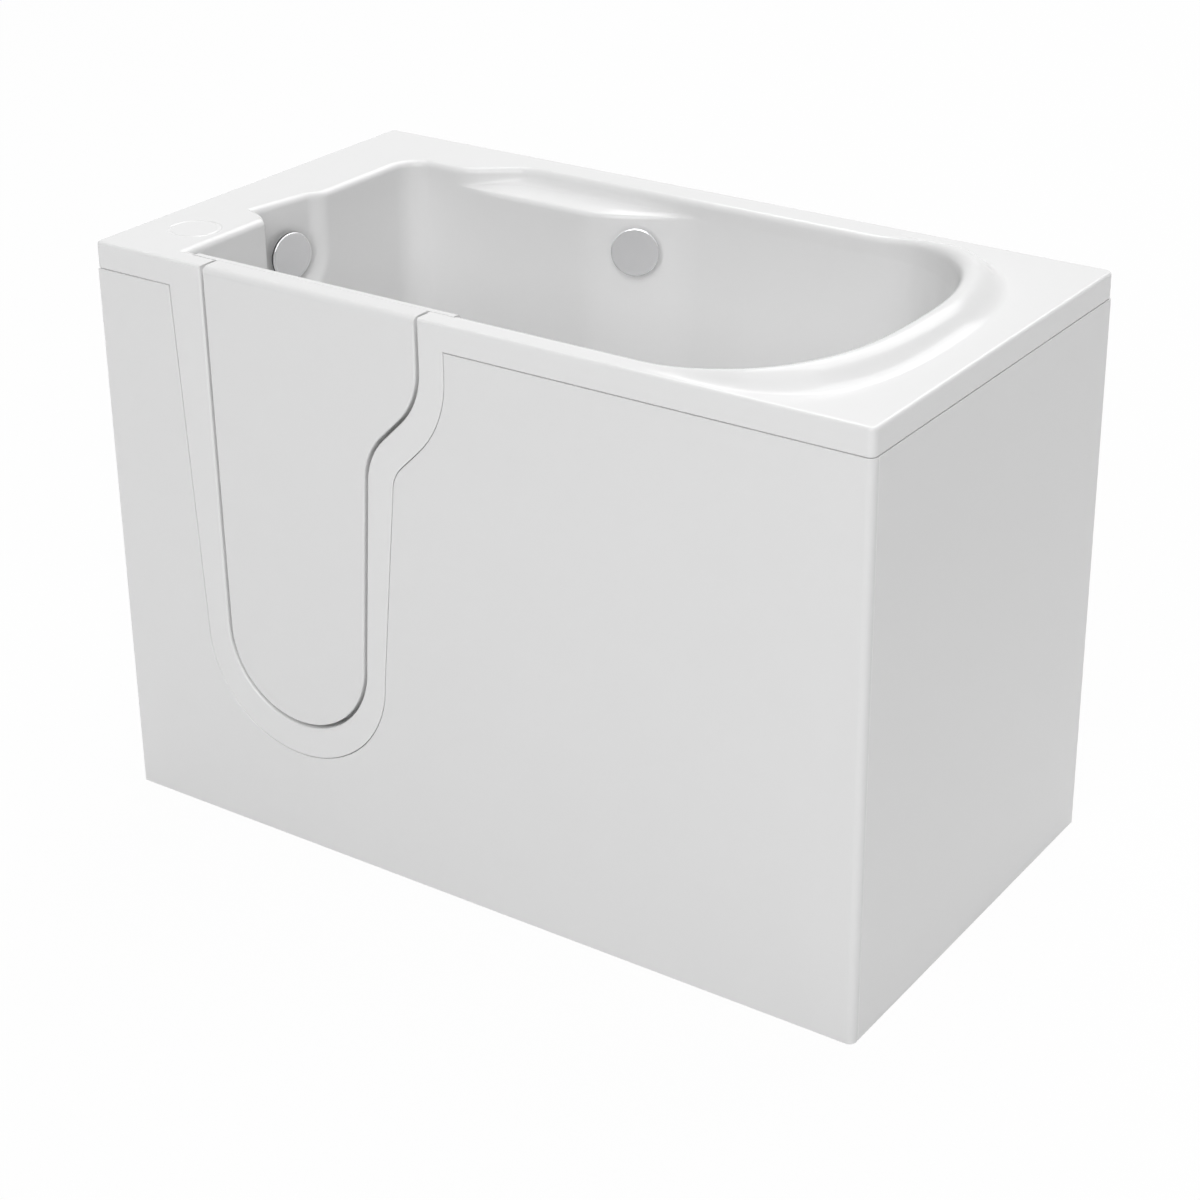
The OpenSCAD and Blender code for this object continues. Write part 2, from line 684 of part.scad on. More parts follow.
// --- waste --------------------------------------------------------------------------------------
stem_r = 4;
bore_r = 22;
neck_r = 32;
trap_r = 44;
trap_z = 18;
trap_h = 56;
trap_hole_r = 18;
drain_r = 20;
drain_z = 48;
drain_end = bath_w - 10;
spigot_l = 30;
drain_nut_l = 18;
shaft_r = 6;
body_back = 28;                                    // depth of the overflow's box behind the wall
body_r = 30;
pipe_r = 12;
pipe_x = niche_x - skin_t - body_back / 2 - 2;
pipe_y = waste_y;
gland_r = 5;                                       // the glands of the cable from the knob to the plug
gland_l = 8;
gland_y = knob_y + 18;

module waste_flange() color(chrome) at_waste(floor_h) difference() {
    union() {
        cylinder(r = 35, h = 3);
        translate([0, 0, -2 * skin_t]) cylinder(r = waste_r, h = 2 * skin_t);
    }
    difference() {
        translate([0, 0, -3 * skin_t]) cylinder(r = bore_r, h = 4 * skin_t);
        translate([-bore_r - 1, -stem_r - 3, -2 * skin_t]) cube([2 * bore_r + 2, 2 * stem_r + 6, 4]);
    }
    translate([0, 0, -3 * skin_t]) cylinder(r = stem_r + play, h = 4 * skin_t);
}

module popup_plug() color(chrome) at_waste(floor_h + 3.3) {
    cylinder(r = 29, h = 3);
    translate([0, 0, 3]) cylinder(r1 = 29, r2 = 24, h = 1.5);
    translate([0, 0, -30]) cylinder(r = stem_r, h = 30);
}

// the neck between the floor and the trap, with a gland for the cable from the knob
module waste_body() color(black) at_waste(0) {
    neck = trap_z + trap_h;
    difference() {
        union() {
            translate([0, 0, neck]) cylinder(r = neck_r, h = floor_h - skin_t - neck);
            translate([-neck_r - gland_l, gland_y - waste_y, neck + gland_r]) rotate([0, 90, 0])
                cylinder(r = gland_r, h = neck_r);
        }
        translate([0, 0, neck + 8]) cylinder(r = waste_r, h = floor_h);
        translate([0, 0, neck - 1]) cylinder(r = trap_hole_r, h = 10);
    }
}

module waste_trap() color(black) at_waste(trap_z) difference() {
    round = 12;
    wall = 4;
    outlet_z = drain_z - trap_z;
    union() {
        rotate_extrude() {
            translate([0, round]) square([trap_r, trap_h - round]);
            square([trap_r - round, trap_h]);
            translate([trap_r - round, round]) intersection() {
                circle(round);
                translate([0, -round]) square(round);
            }
        }
        translate([0, trap_r - 8, outlet_z]) rotate([-90, 0, 0]) cylinder(r = drain_r + wall, h = spigot_l);
        translate([wall - trap_r, 0, outlet_z]) rotate([0, -90, 0]) cylinder(r = pipe_r + wall, h = 16);
    }
    translate([0, 0, wall]) cylinder(r = trap_r - round, h = trap_h - 2 * wall);
    translate([0, 0, trap_h - wall - 1]) cylinder(r = trap_hole_r, h = wall + 2);
    translate([0, trap_r - wall, outlet_z]) rotate([-90, 0, 0]) cylinder(r = drain_r, h = 40);
    translate([0, 0, outlet_z]) rotate([-90, 0, 0]) cylinder(r = drain_r - 3, h = trap_r);
    translate([wall - trap_r, 0, outlet_z]) rotate([0, -90, 0]) cylinder(r = pipe_r, h = 20);
    translate([0, 0, outlet_z]) rotate([0, -90, 0]) cylinder(r = pipe_r - 2, h = trap_r);
}

// the outlet pipe with its compression nut against the trap's spigot
module drain_pipe() color(white) {
    start = waste_y + trap_r - 4;
    nut_y = waste_y + trap_r - 8 + spigot_l;
    translate([waste_x, 0, drain_z]) rotate([-90, 0, 0]) difference() {
        union() {
            translate([0, 0, start]) cylinder(r = drain_r, h = drain_end - start);
            translate([0, 0, nut_y]) cylinder(r = drain_r + 8, h = drain_nut_l);
        }
        translate([0, 0, start - 1]) cylinder(r = drain_r - 2.5, h = drain_end - start + 2);
    }
}

// the overflow's box behind the niche, with a spout for the pipe and a gland for the cable
module overflow_body() color(black) {
    back = -skin_t - body_back;
    bearing = 8;
    difference() {
        union() {
            at_knob() translate([0, 0, back]) cylinder(r = body_r, h = body_back);
            at_knob() translate([0, 0, -skin_t]) cylinder(r = hub_r - 2, h = skin_t);
            translate([pipe_x, pipe_y, knob_z - body_r - 14]) cylinder(r = pipe_r + 2, h = body_r);
            translate([pipe_x, gland_y, knob_z - body_r - gland_l]) cylinder(r = gland_r, h = body_r / 2);
        }
        at_knob() translate([0, 0, back + 3]) cylinder(r = shaft_r + play, h = body_back);
        at_knob() translate([0, 0, back + 3 + bearing]) cylinder(r = hub_r - 4, h = body_back);
        translate([pipe_x, pipe_y, knob_z - body_r - 15]) cylinder(r = pipe_r, h = 13);
        translate([pipe_x, pipe_y, knob_z - body_r - 3]) cylinder(r = pipe_r - 3, h = body_r);
    }
}

// a pierced plate that hides the hole and steadies the shaft
module overflow_plate() color(chrome) at_knob() difference() {
    cylinder(r = hub_r + 6, h = 3);
    translate([0, 0, -1]) cylinder(r = shaft_r + play, h = 5);
    for (a = [0:45:315]) rotate(a) translate([11, 0, -1]) cylinder(r = 3, h = 5);
}

module disc() {
    edge = 1.5;
    translate([0, 0, disc_gap]) cylinder(r = disc_d / 2 - 1, h = disc_t);
    translate([0, 0, disc_gap + edge]) cylinder(r = disc_d / 2, h = disc_t - 2 * edge);
}

module overflow_knob() color(chrome) at_knob() {
    back = 4 - skin_t - body_back;
    translate([0, 0, back]) cylinder(r = shaft_r, h = disc_gap - back);
    translate([0, 0, 3.3]) cylinder(r = 14, h = disc_gap - 3.3);
    disc();
}

// down beside the bowl, through a quarter circle and into the side of the trap
module overflow_pipe() color(black) {
    bend = 58;
    top = knob_z - body_r - 2;
    end = waste_x - trap_r + 4;
    translate([pipe_x, pipe_y, drain_z + bend]) cylinder(r = pipe_r, h = top - drain_z - bend);
    translate([pipe_x + bend, pipe_y, drain_z + bend]) rotate([90, 0, 0]) rotate([0, 0, 180])
        rotate_extrude(angle = 90) translate([bend, 0]) circle(pipe_r);
    translate([pipe_x + bend, pipe_y, drain_z]) rotate([0, 90, 0])
        cylinder(r = pipe_r, h = end - pipe_x - bend);
}

// --- filler -------------------------------------------------------------------------------------
tail_r = 13.2;                                     // a three-quarter inch male thread
tail_l = 110;
thread_l = 18;
filler_back = 34;
hub_in = 6;                                        // the hub's reach into the box behind the wall
box_front = -skin_t - 2.2;
box_mid = box_front - 0.6 * filler_back;
tail_x = filler_x + box_mid * sin(filler_turn);
tail_y = filler_y - box_mid * cos(filler_turn);

module filler_cover() color(chrome) at_filler() {
    translate([0, 0, 2]) cylinder(r = 14, h = disc_gap - 2);
    disc();
}

module filler_hub() color(chrome) at_filler()
    translate([0, 0, box_front - hub_in]) cylinder(r = hub_r, h = hub_in - box_front + 2);

module filler_body() color(black) difference() {
    at_filler() translate([0, 0, box_front - filler_back]) cylinder(r = hub_r + 6, h = filler_back);
    at_filler() translate([0, 0, box_front - hub_in]) cylinder(r = hub_r, h = hub_in + 1);
    filler_thread(tail_r, 0);
}

module filler_thread(r, out)
    translate([tail_x, tail_y, filler_z - 10 - tail_l - out]) cylinder(r = r, h = tail_l + out);

// the tail with its thread below a collar
module filler_tail() color(chrome) difference() {
    union() {
        filler_thread(tail_r, 0);
        translate([tail_x, tail_y, filler_z - 10 - tail_l + thread_l]) cylinder(r = tail_r + 4, h = 8);
    }
    filler_thread(tail_r - 3, 1);
}

// --- nodes --------------------------------------------------------------------------------------
HEIGHTS = ["lower", "upper"];
BRACKETS = ["front_left", "front_right", "end_front", "end_back"];
CORNERS = ["front_left", "front_right", "back_left", "back_right"];
LEGS = ["front_left", "front_middle", "front_right", "back_left", "back_middle", "back_right"];

module place() translate([-bath_l / 2, -bath_w / 2, 0]) children();
place() bath_shell();
place() door_outer_leaf();
place() door_inner_leaf();
place() door_seal();
place() latch_rose();
place() latch_spindle();
place() latch_tongue();
place() latch_lever();
place() latch_keeper();
place() front_panel();
place() end_panel();
place() front_batten();
place() end_batten();
place() base_frame();
place() seat_board();
place() base_board();
place() waste_flange();
place() popup_plug();
place() waste_body();
place() waste_trap();
place() drain_pipe();
place() overflow_body();
place() overflow_plate();
place() overflow_knob();
place() overflow_pipe();
place() filler_cover();
place() filler_hub();
place() filler_body();
place() filler_tail();
for (i = [0, 1]) {
    place() hinge_wall_leaf(i);
    place() hinge_door_leaf(i);
    place() hinge_pin(i);
}
for (i = [0, 1]) {
    place() front_bracket(i);
    place() end_bracket(i);
}
for (i = [0:3]) {
    place() upright(i);
    place() seat_post(i);
}
for (i = [0:5]) {
    place() foot(i);
    place() stud(i);
}
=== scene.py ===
# %% [markdown]
# # A compact walk-in bath
# The bath is a moulded acrylic bowl with an inward-opening door, standing on a steel frame behind
# two panels. The CAD frame gives every piece its place. This lesson dresses it: the moulding, the
# door and the discs are worked out again as smooth surfaces, and the rest gets its finish.

# %% Load the frame
import json
import math

import bmesh
import bpy
import numpy as np
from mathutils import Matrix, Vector

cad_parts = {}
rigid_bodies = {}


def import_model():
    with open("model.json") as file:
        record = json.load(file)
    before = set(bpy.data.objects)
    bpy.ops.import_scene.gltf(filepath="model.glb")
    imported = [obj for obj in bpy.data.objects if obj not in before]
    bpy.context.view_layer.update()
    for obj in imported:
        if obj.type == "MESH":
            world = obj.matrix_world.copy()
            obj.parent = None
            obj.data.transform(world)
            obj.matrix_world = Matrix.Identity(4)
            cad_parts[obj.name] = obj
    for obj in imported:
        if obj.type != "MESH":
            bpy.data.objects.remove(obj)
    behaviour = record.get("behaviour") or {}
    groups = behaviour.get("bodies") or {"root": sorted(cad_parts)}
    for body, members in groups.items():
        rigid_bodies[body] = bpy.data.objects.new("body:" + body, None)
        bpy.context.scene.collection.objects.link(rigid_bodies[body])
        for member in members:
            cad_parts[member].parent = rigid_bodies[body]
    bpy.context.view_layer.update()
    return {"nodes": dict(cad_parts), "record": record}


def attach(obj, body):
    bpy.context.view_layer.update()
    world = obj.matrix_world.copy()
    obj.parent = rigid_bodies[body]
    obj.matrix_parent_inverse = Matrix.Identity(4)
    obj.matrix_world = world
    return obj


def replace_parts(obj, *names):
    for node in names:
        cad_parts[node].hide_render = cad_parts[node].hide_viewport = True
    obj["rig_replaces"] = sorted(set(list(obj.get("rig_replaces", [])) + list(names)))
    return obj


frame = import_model()
nodes = frame["nodes"]
print("CAD nodes:", len(nodes))

# %% [markdown]
# ## Units and the main sizes
# The bath is drawn in millimetres from its front left corner, x to the right, y to the back and z
# up. One function moves finished points to the frame's metres.

# %% Sizes of the bath
BATH_L, BATH_W, DECK_H, LIP_H, SKIN = 1210.0, 650.0, 845.0, 37.0, 5.0
RIM_FRONT, RIM_BACK, RIM_LEFT, RIM_RIGHT, RIM_R = 40.0, 53.0, 120.0, 108.0, 9.0
FLOOR_H, SEAT_H, SEAT_X = 135.0, 445.0, 720.0
ROUND_X, ROUND_FRONT, ROUND_BACK, LEAN = 900.0, 2.9, 2.2, 0.17
HEAD_RISE, HEAD_X, HEAD_RUN, HEAD_W, HEAD_SIDE, HEAD_R = 25.0, 880.0, 220.0, 56.0, 22.0, 20.0
ARM_X, ARM_L, ARM_RAMP, ARM_TAPER, ARM_W, ARM_Z = 204.0, 226.0, 108.0, 170.0, 57.0, 818.0
MID_Y = (RIM_FRONT + BATH_W - RIM_BACK) / 2
ARM_Y = BATH_W - RIM_BACK - ARM_W
FLOOR_BACK = ARM_Y - 10
TOP_H = DECK_H + HEAD_RISE
LIP_TOP = DECK_H - LIP_H
ORIGIN = np.array([BATH_L / 2, BATH_W / 2, 0.0])


def metres(points):
    """Points in the frame's metres: the point less the middle of the footprint, over 1000."""
    return (np.asarray(points, float) - ORIGIN) / 1000


def ease(t):
    """An S from 0 to 1: 3 t squared less 2 t cubed, with t held between 0 and 1."""
    t = np.clip(t, 0, 1)
    return t * t * (3 - 2 * t)


print("deck at", DECK_H, "mm, headrest at", TOP_H, "mm")

# %% [markdown]
# ## Camera
# The photograph was taken from the front right, a little above the deck. A long lens flattens the
# bath as the photograph does, and a small lens shift puts it in the same part of the frame.

# %% Camera
scene = bpy.context.scene


def placed(name, data):
    """A new object for this data, linked to the scene."""
    made = bpy.data.objects.new(name, data)
    scene.collection.objects.link(made)
    return made


lens_data = bpy.data.cameras.new("camera")
camera = placed("camera", lens_data)
scene.camera = camera
camera.location = (1.8907, -2.7280, 1.9805)
camera.rotation_euler = (math.radians(90 - 24.25), 0, math.radians(33.25))
lens_data.lens = 78.24
lens_data.shift_x = -0.05
lens_data.shift_y = -0.0833
print("camera", [round(v, 3) for v in camera.location])

# %% [markdown]
# ## Light
# Three large lamps light the bath: one at the front right that reaches down into the bowl, one
# overhead and one behind. Their size keeps reflections and shadows soft, and their power is low
# enough for a white to render about as it is written.

# %% Lamps
LAMP_AIM = Vector((0, 0, 0.5))


def area_lamp(name, place, size, power):
    """A square lamp at place, turned so that it faces the middle of the bath."""
    data = bpy.data.lights.new(name, "AREA")
    data.size, data.energy = size, power
    lamp = placed(name, data)
    lamp.location = place
    lamp.rotation_euler = (LAMP_AIM - Vector(place)).to_track_quat("-Z", "Y").to_euler()


area_lamp("lamp_front", (3.0, -7.0, 5.9), 6.5, 400)
area_lamp("lamp_top", (0.4, -0.6, 9.5), 8.0, 170)
area_lamp("lamp_back", (-0.8, 5.4, 8.2), 8.5, 500)

# %% [markdown]
# ## White background
# The camera, mirrors and glass see the floor and the world as plain white, while all other light
# still sees a pale floor and a dim world. So the background is white without more light on the
# bath, and the floor keeps a little of its soft shadow. The floor lies a hair below the feet, so
# that two flat faces never share a plane.

# %% World and floor
SKY_STRENGTH, WHITE_STRENGTH, FLOOR_WHITE = 0.15, 1.0, 0.96
FLOOR_HALF, FLOOR_DROP, FLOOR_GREY = 9, 0.0002, (0.93, 0.93, 0.93, 1)


def feed(tree, socket, value):
    """Give an input a value, or link it to another node's output."""
    if isinstance(value, bpy.types.NodeSocket):
        tree.links.new(value, socket)
    else:
        socket.default_value = value


def node(tree, kind, **inputs):
    """A new shader node with its named inputs fed. An underscore in a name stands for a space."""
    made = tree.nodes.new("ShaderNode" + kind)
    for name, value in inputs.items():
        feed(tree, made.inputs[name.replace("_", " ")], value)
    return made


def maths(tree, operation, first, second=0.0):
    """One maths node: the operation on two values, each a socket or a number."""
    made = node(tree, "Math")
    made.operation = operation
    feed(tree, made.inputs[0], first)
    feed(tree, made.inputs[1], second)
    return made.outputs[0]


def seen_white(tree, shader, target, share=1.0):
    """Link target to the shader, but by this share to plain white for camera, mirrors and glass."""
    ray = node(tree, "LightPath").outputs
    seen = maths(tree, "MAXIMUM", ray["Is Camera Ray"], ray["Is Glossy Ray"])
    seen = maths(tree, "MAXIMUM", seen, ray["Is Transmission Ray"])
    kind = "Background" if shader.type == "BACKGROUND" else "Emission"
    white = node(tree, kind, Color=(1, 1, 1, 1), Strength=WHITE_STRENGTH)
    mix = node(tree, "MixShader")
    given = (maths(tree, "MULTIPLY", seen, share), shader.outputs[0], white.outputs[0])
    for socket, value in zip(mix.inputs, given):
        feed(tree, socket, value)
    tree.links.new(mix.outputs[0], target.inputs["Surface"])


scene.view_settings.view_transform = "Standard"
world = bpy.data.worlds.new("studio")
scene.world = world
world.use_nodes = True
sky = world.node_tree.nodes["Background"]
sky.inputs["Color"].default_value = (1, 1, 1, 1)
sky.inputs["Strength"].default_value = SKY_STRENGTH
seen_white(world.node_tree, sky, world.node_tree.nodes["World Output"])

floor_mesh = bpy.data.meshes.new("floor")
floor_corners = [(FLOOR_HALF * i, FLOOR_HALF * j, -FLOOR_DROP) for i, j in ((-1, -1), (1, -1), (1, 1), (-1, 1))]
floor_mesh.from_pydata(floor_corners, [], [(0, 1, 2, 3)])
floor = placed("floor", floor_mesh)
floor_paint = bpy.data.materials.new("floor_paint")
floor_paint.use_nodes = True
matt = floor_paint.node_tree.nodes["Principled BSDF"]
matt.inputs["Base Color"].default_value = FLOOR_GREY
matt.inputs["Roughness"].default_value = 0.9
seen_white(floor_paint.node_tree, matt, floor_paint.node_tree.nodes["Material Output"], FLOOR_WHITE)
floor_mesh.materials.append(floor_paint)
print("floor of", 2 * FLOOR_HALF, "m, sky strength", SKY_STRENGTH)

# %% [markdown]
# ## Finishes
# Each finish is a pattern of the object's own coordinates on one shader. The pattern moves the
# colour, the roughness and the height of the surface together: a wandering grain for plastics, long
# thin lines for brushed steel, crystals for zinc and layers for plywood.


# %% Patterns
LAYER_SCALE, LAYER_WANDER, LAYER_SHARE, EDGE_TILT = 52, 0.6, 0.6, 0.5


def blend(tree, first, second, share):
    """first times (1 - share) plus second times share."""
    rest = maths(tree, "MULTIPLY", first, maths(tree, "SUBTRACT", 1.0, share))
    return maths(tree, "ADD", rest, maths(tree, "MULTIPLY", second, share))


def soft_noise(tree, where, scale, detail=4.0):
    """A wandering grain from 0 to 1: fractal noise of the coordinates times scale."""
    return node(tree, "TexNoise", Vector=where, Scale=scale, Detail=detail).outputs["Fac"]


def zinc_flakes(tree, where, scale):
    """Crystals: each cell of a Voronoi pattern has a value of its own, softened by fine noise."""
    cells = node(tree, "TexVoronoi", Vector=where, Scale=scale)
    grey = node(tree, "SeparateColor", Color=cells.outputs["Color"])
    return blend(tree, grey.outputs["Red"], soft_noise(tree, where, scale * 9), 0.35)


def ply_layers(tree, where, scale):
    """Wood: long fibres everywhere, and on the edges light and dark layers across the thickness."""
    fibres = soft_noise(tree, where, scale, 6.0)
    own = node(tree, "TexCoord").outputs
    layers = node(tree, "TexWave", Vector=own["Object"], Scale=LAYER_SCALE, Distortion=LAYER_WANDER)
    layers.bands_direction = "Z"
    facing = node(tree, "SeparateXYZ", Vector=own["Normal"])
    on_edge = maths(tree, "LESS_THAN", maths(tree, "ABSOLUTE", facing.outputs["Z"]), EDGE_TILT)
    return blend(tree, fibres, layers.outputs["Fac"], maths(tree, "MULTIPLY", on_edge, LAYER_SHARE))


print("patterns:", soft_noise.__name__, zinc_flakes.__name__, ply_layers.__name__)

# %% The finish maker
RELIEF = 0.002


def finish(name, colour, roughness, metallic=0.0, pattern=soft_noise, scale=40.0, bump=0.02, vary=0.03,
           stretch=(1, 1, 1)):
    """A shader whose colour, roughness and height follow a pattern from 0 to 1.

    Colour runs from colour times (1 - 2 vary) to colour, roughness over 15 percent either side, and
    the coordinates are multiplied by `stretch` first, which draws the pattern out into lines."""
    paint = bpy.data.materials.new(name)
    paint.use_nodes = True
    tree = paint.node_tree
    where = node(tree, "Mapping", Vector=node(tree, "TexCoord").outputs["Object"], Scale=stretch)
    value = pattern(tree, where.outputs["Vector"], scale)
    shade = node(tree, "Mix")
    shade.data_type = "RGBA"
    dark = [c * (1 - 2 * vary) for c in colour]
    for key, given in (("A", (*dark, 1)), ("B", (*colour, 1)), ("Factor", value)):
        feed(tree, shade.inputs[key], given)
    rough = node(tree, "MapRange", Value=value, To_Min=roughness * 1.15, To_Max=roughness * 0.85)
    relief = node(tree, "Bump", Height=value, Strength=bump, Distance=RELIEF)
    shader = tree.nodes["Principled BSDF"]
    for key, given in (
        ("Metallic", metallic), ("Base Color", shade.outputs["Result"]),
        ("Roughness", rough.outputs["Result"]), ("Normal", relief.outputs["Normal"]),
    ):
        feed(tree, shader.inputs[key], given)
    return paint


BOWL_WHITE, DOOR_WHITE, PIPE_WHITE = (0.90, 0.90, 0.90), (0.88, 0.88, 0.88), (0.80, 0.80, 0.78)
CHROME, STEEL, ZINC, BRASS = (0.80, 0.80, 0.81), (0.56, 0.56, 0.57), (0.60, 0.62, 0.64), (0.70, 0.55, 0.28)
RUBBER_GREY, PIPE_BLACK, BIRCH = (0.20, 0.20, 0.21), (0.025, 0.025, 0.028), (0.68, 0.52, 0.34)
FINISHES = {
    "acrylic": finish("gloss_acrylic", BOWL_WHITE, 0.15, scale=9, bump=0.004, vary=0.006),
    "door_acrylic": finish("door_acrylic", DOOR_WHITE, 0.16, scale=9, bump=0.004, vary=0.006),
    "panel_acrylic": finish("panel_acrylic", DOOR_WHITE, 0.2, scale=7, bump=0.005, vary=0.006),
    "rubber": finish("grey_rubber", RUBBER_GREY, 0.6, scale=300, bump=0.1, vary=0.1),
    "chrome": finish("chrome_plate", CHROME, 0.03, 1, scale=60, bump=0.002, vary=0.01),
    "stainless": finish("brushed_stainless", STEEL, 0.32, 1, scale=60, bump=0.05, vary=0.06, stretch=(1, 1, 30)),
    "galvanised": finish("zinc_coated_steel", ZINC, 0.42, 0.9, zinc_flakes, scale=70, vary=0.16),
    "brass": finish("turned_brass", BRASS, 0.22, 1, scale=80, vary=0.08),
    "board": finish("birch_plywood", BIRCH, 0.7, 0, ply_layers, scale=12, bump=0.15, vary=0.16, stretch=(1, 14, 6)),
    "black_plastic": finish("black_pipe_plastic", PIPE_BLACK, 0.38, scale=200, bump=0.05, vary=0.1),
    "white_plastic": finish("white_pipe_plastic", PIPE_WHITE, 0.35, scale=120, bump=0.03, vary=0.02),
}
print("finishes:", len(FINISHES))

# %% [markdown]
# ## From arrays to pieces
# A piece is made from an array of points and an array of faces. It rides on a CAD body, says which
# finish it takes and which CAD nodes it stands for.

# %% Piece makers
SMOOTH_ANGLE = math.radians(35)
MERGE, TINY = 2e-6, 1e-6


def closed_mesh(name, points, faces):
    """A mesh of the points (in bath millimetres) and faces, merged, with its normals outwards."""
    mesh = bpy.data.meshes.new(name)
    mesh.from_pydata(metres(points).tolist(), [], [list(map(int, f)) for f in faces])
    shape = bmesh.new()
    shape.from_mesh(mesh)
    bmesh.ops.remove_doubles(shape, verts=shape.verts, dist=MERGE)
    bmesh.ops.dissolve_degenerate(shape, edges=shape.edges, dist=TINY)
    bmesh.ops.recalc_face_normals(shape, faces=shape.faces)
    shape.to_mesh(mesh)
    shape.free()
    return mesh


def dress(made, body, slot, replaces=()):
    """Smooth shading, finish, body and stood-for nodes for one object."""
    mesh = made.data
    mesh.materials.clear()
    mesh.materials.append(FINISHES[slot])
    mesh.polygons.foreach_set("use_smooth", np.ones(len(mesh.polygons), bool))
    mesh.set_sharp_from_angle(angle=SMOOTH_ANGLE)
    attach(made, body)
    if replaces:
        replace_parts(made, *replaces)


def piece(name, solid, body, slot, replaces=()):
    """A finished object of a solid, which is its points and its faces."""
    made = placed(name, closed_mesh(name, *solid))
    dress(made, body, slot, replaces)
    return made


def weigh_normals(*pieces):
    """Large flat faces keep their own normals, so that rounds beside them shade cleanly."""
    for made in pieces:
        made.modifiers.new("even_normals", "WEIGHTED_NORMAL").keep_sharp = True


# %% Faces between rows of points
def grid_faces(rows, columns, wrap=False):
    """Quads between neighbouring rows and columns; wrap joins the last column to the first."""
    r = np.arange(rows - 1)[:, None]
    c = np.arange(columns if wrap else columns - 1)[None, :]
    d = (c + 1) % columns
    quads = np.stack([r * columns + c, r * columns + d, (r + 1) * columns + d, (r + 1) * columns + c], -1)
    return quads.reshape(-1, 4)


def capped_faces(rows, columns):
    """Faces of a closed body: the quads of a wrapped grid, and one flat cap on either end."""
    caps = [list(range(columns))[::-1], list(range((rows - 1) * columns, rows * columns))]
    return grid_faces(rows, columns, wrap=True).tolist() + caps


print("a can of 2 rows and 8 columns has", len(capped_faces(2, 8)), "faces")

# %% [markdown]
# ## The moulded bath
# The real bath is one vacuum-formed sheet: deck, headrest, bowl, armrest and knob niche run into
# each other with soft rounds. One grid follows that sheet. Its columns run round the bowl in four
# sides, and its rows run from the foot of the wall up to the rim, over the deck and lip, and back
# down on the underside. A second grid fills the floor and the seat.

# %% Columns round the bowl
# Fillets at the foot of the wall: left and back, front, and round end. SPLIT is the angle at which
# the round end hands over to the long sides. Columns stand closer at the ramps and steps.
CORNER_R, FOOT_L, FOOT_F, FOOT_END = 40.0, 38.0, 15.0, 50.0
SPLIT, STEP_R, SEAT_R, SEAT_DRAFT = 50.0, 30.0, 25.0, 8.0
bottom_arc = np.radians(np.linspace(0, 90, 7))
seat_start = SEAT_X + SEAT_DRAFT + SEAT_R

floor_x = np.concatenate([
    np.linspace(172, 214, 6), np.linspace(220, 290, 15), np.linspace(310, 430, 7),
    np.linspace(445, 600, 14), np.linspace(620, 680, 4),
])
front_x = np.concatenate([
    floor_x, SEAT_X - STEP_R * (1 - np.sin(bottom_arc)), np.linspace(721.5, 726.5, 4),
    seat_start - SEAT_R * np.cos(bottom_arc), np.linspace(770, 890, 8),
])
front_z = np.concatenate([
    np.full(len(floor_x), FLOOR_H), FLOOR_H + STEP_R * (1 - np.cos(bottom_arc)),
    np.linspace(200, 384, 4), SEAT_H - SEAT_R * (1 - np.sin(bottom_arc)), np.full(8, SEAT_H),
])
front_nx = np.concatenate([
    np.zeros(len(floor_x)), np.sin(bottom_arc), np.ones(4), np.cos(bottom_arc), np.zeros(8),
])
front_nz = np.concatenate([
    -np.ones(len(floor_x)), -np.cos(bottom_arc), np.zeros(4), -np.sin(bottom_arc), -np.ones(8),
])
CORNER_N = 7
corner_blend = np.arange(CORNER_N) / CORNER_N
end_phi = np.radians(np.linspace(90, SPLIT, 16))
end_blend = ease((90 - np.degrees(end_phi)) / (90 - SPLIT))
NF = CORNER_N + len(front_x) + len(end_phi)
left_y = np.concatenate([
    np.linspace(490, 362, 9), np.linspace(356, 208.5, 57), np.linspace(207, 196, 8),
    np.linspace(185, 62, 8),
])
NL = CORNER_N + len(left_y) + 1
right_phi = np.radians(np.linspace(-SPLIT, SPLIT, NL))
print("columns on a long side", NF, "and on a short side", NL)


# %% Heights and walls
NICHE_X, NICHE_Y, NICHE_Z, NICHE_HALF, NICHE_SLOPE = 98.0, 278.0, 765.0, 67.0, 0.176
NICHE_SOFT, NICHE_SOFTER, NICHE_OUT, LEFT_DRAFT, POST_Y, POST_OUT = 14, 30, 3, 2.5, 208, 12
SOFTER_Y, SOFTER_Y_RUN, SOFTER_Z, SOFTER_Z_RUN = 240, 50, 740, 30


def crest(x):
    """The rim's height: the deck, plus the headrest's rise eased in along x."""
    return DECK_H + HEAD_RISE * ease((x - HEAD_X) / HEAD_RUN)


def end_x(z):
    """The back rest's foremost line at height z: it leans by LEAN for each mm of height."""
    return BATH_L - RIM_RIGHT - LEAN * np.maximum(0, TOP_H - z)


def back_wall(x, z, share):
    """The back wall's y at x and z: share 0 is below the armrest, and 1 is above it."""
    high = ARM_Y + ARM_W * ease((x - ARM_X) / ARM_RAMP)
    low = ARM_Y + ARM_W * ease((x - ARM_X - ARM_L) / ARM_TAPER)
    wall = low + (FLOOR_BACK - low) * np.maximum(0, ARM_Z - z) / (ARM_Z - FLOOR_H)
    return wall + (high - wall) * share


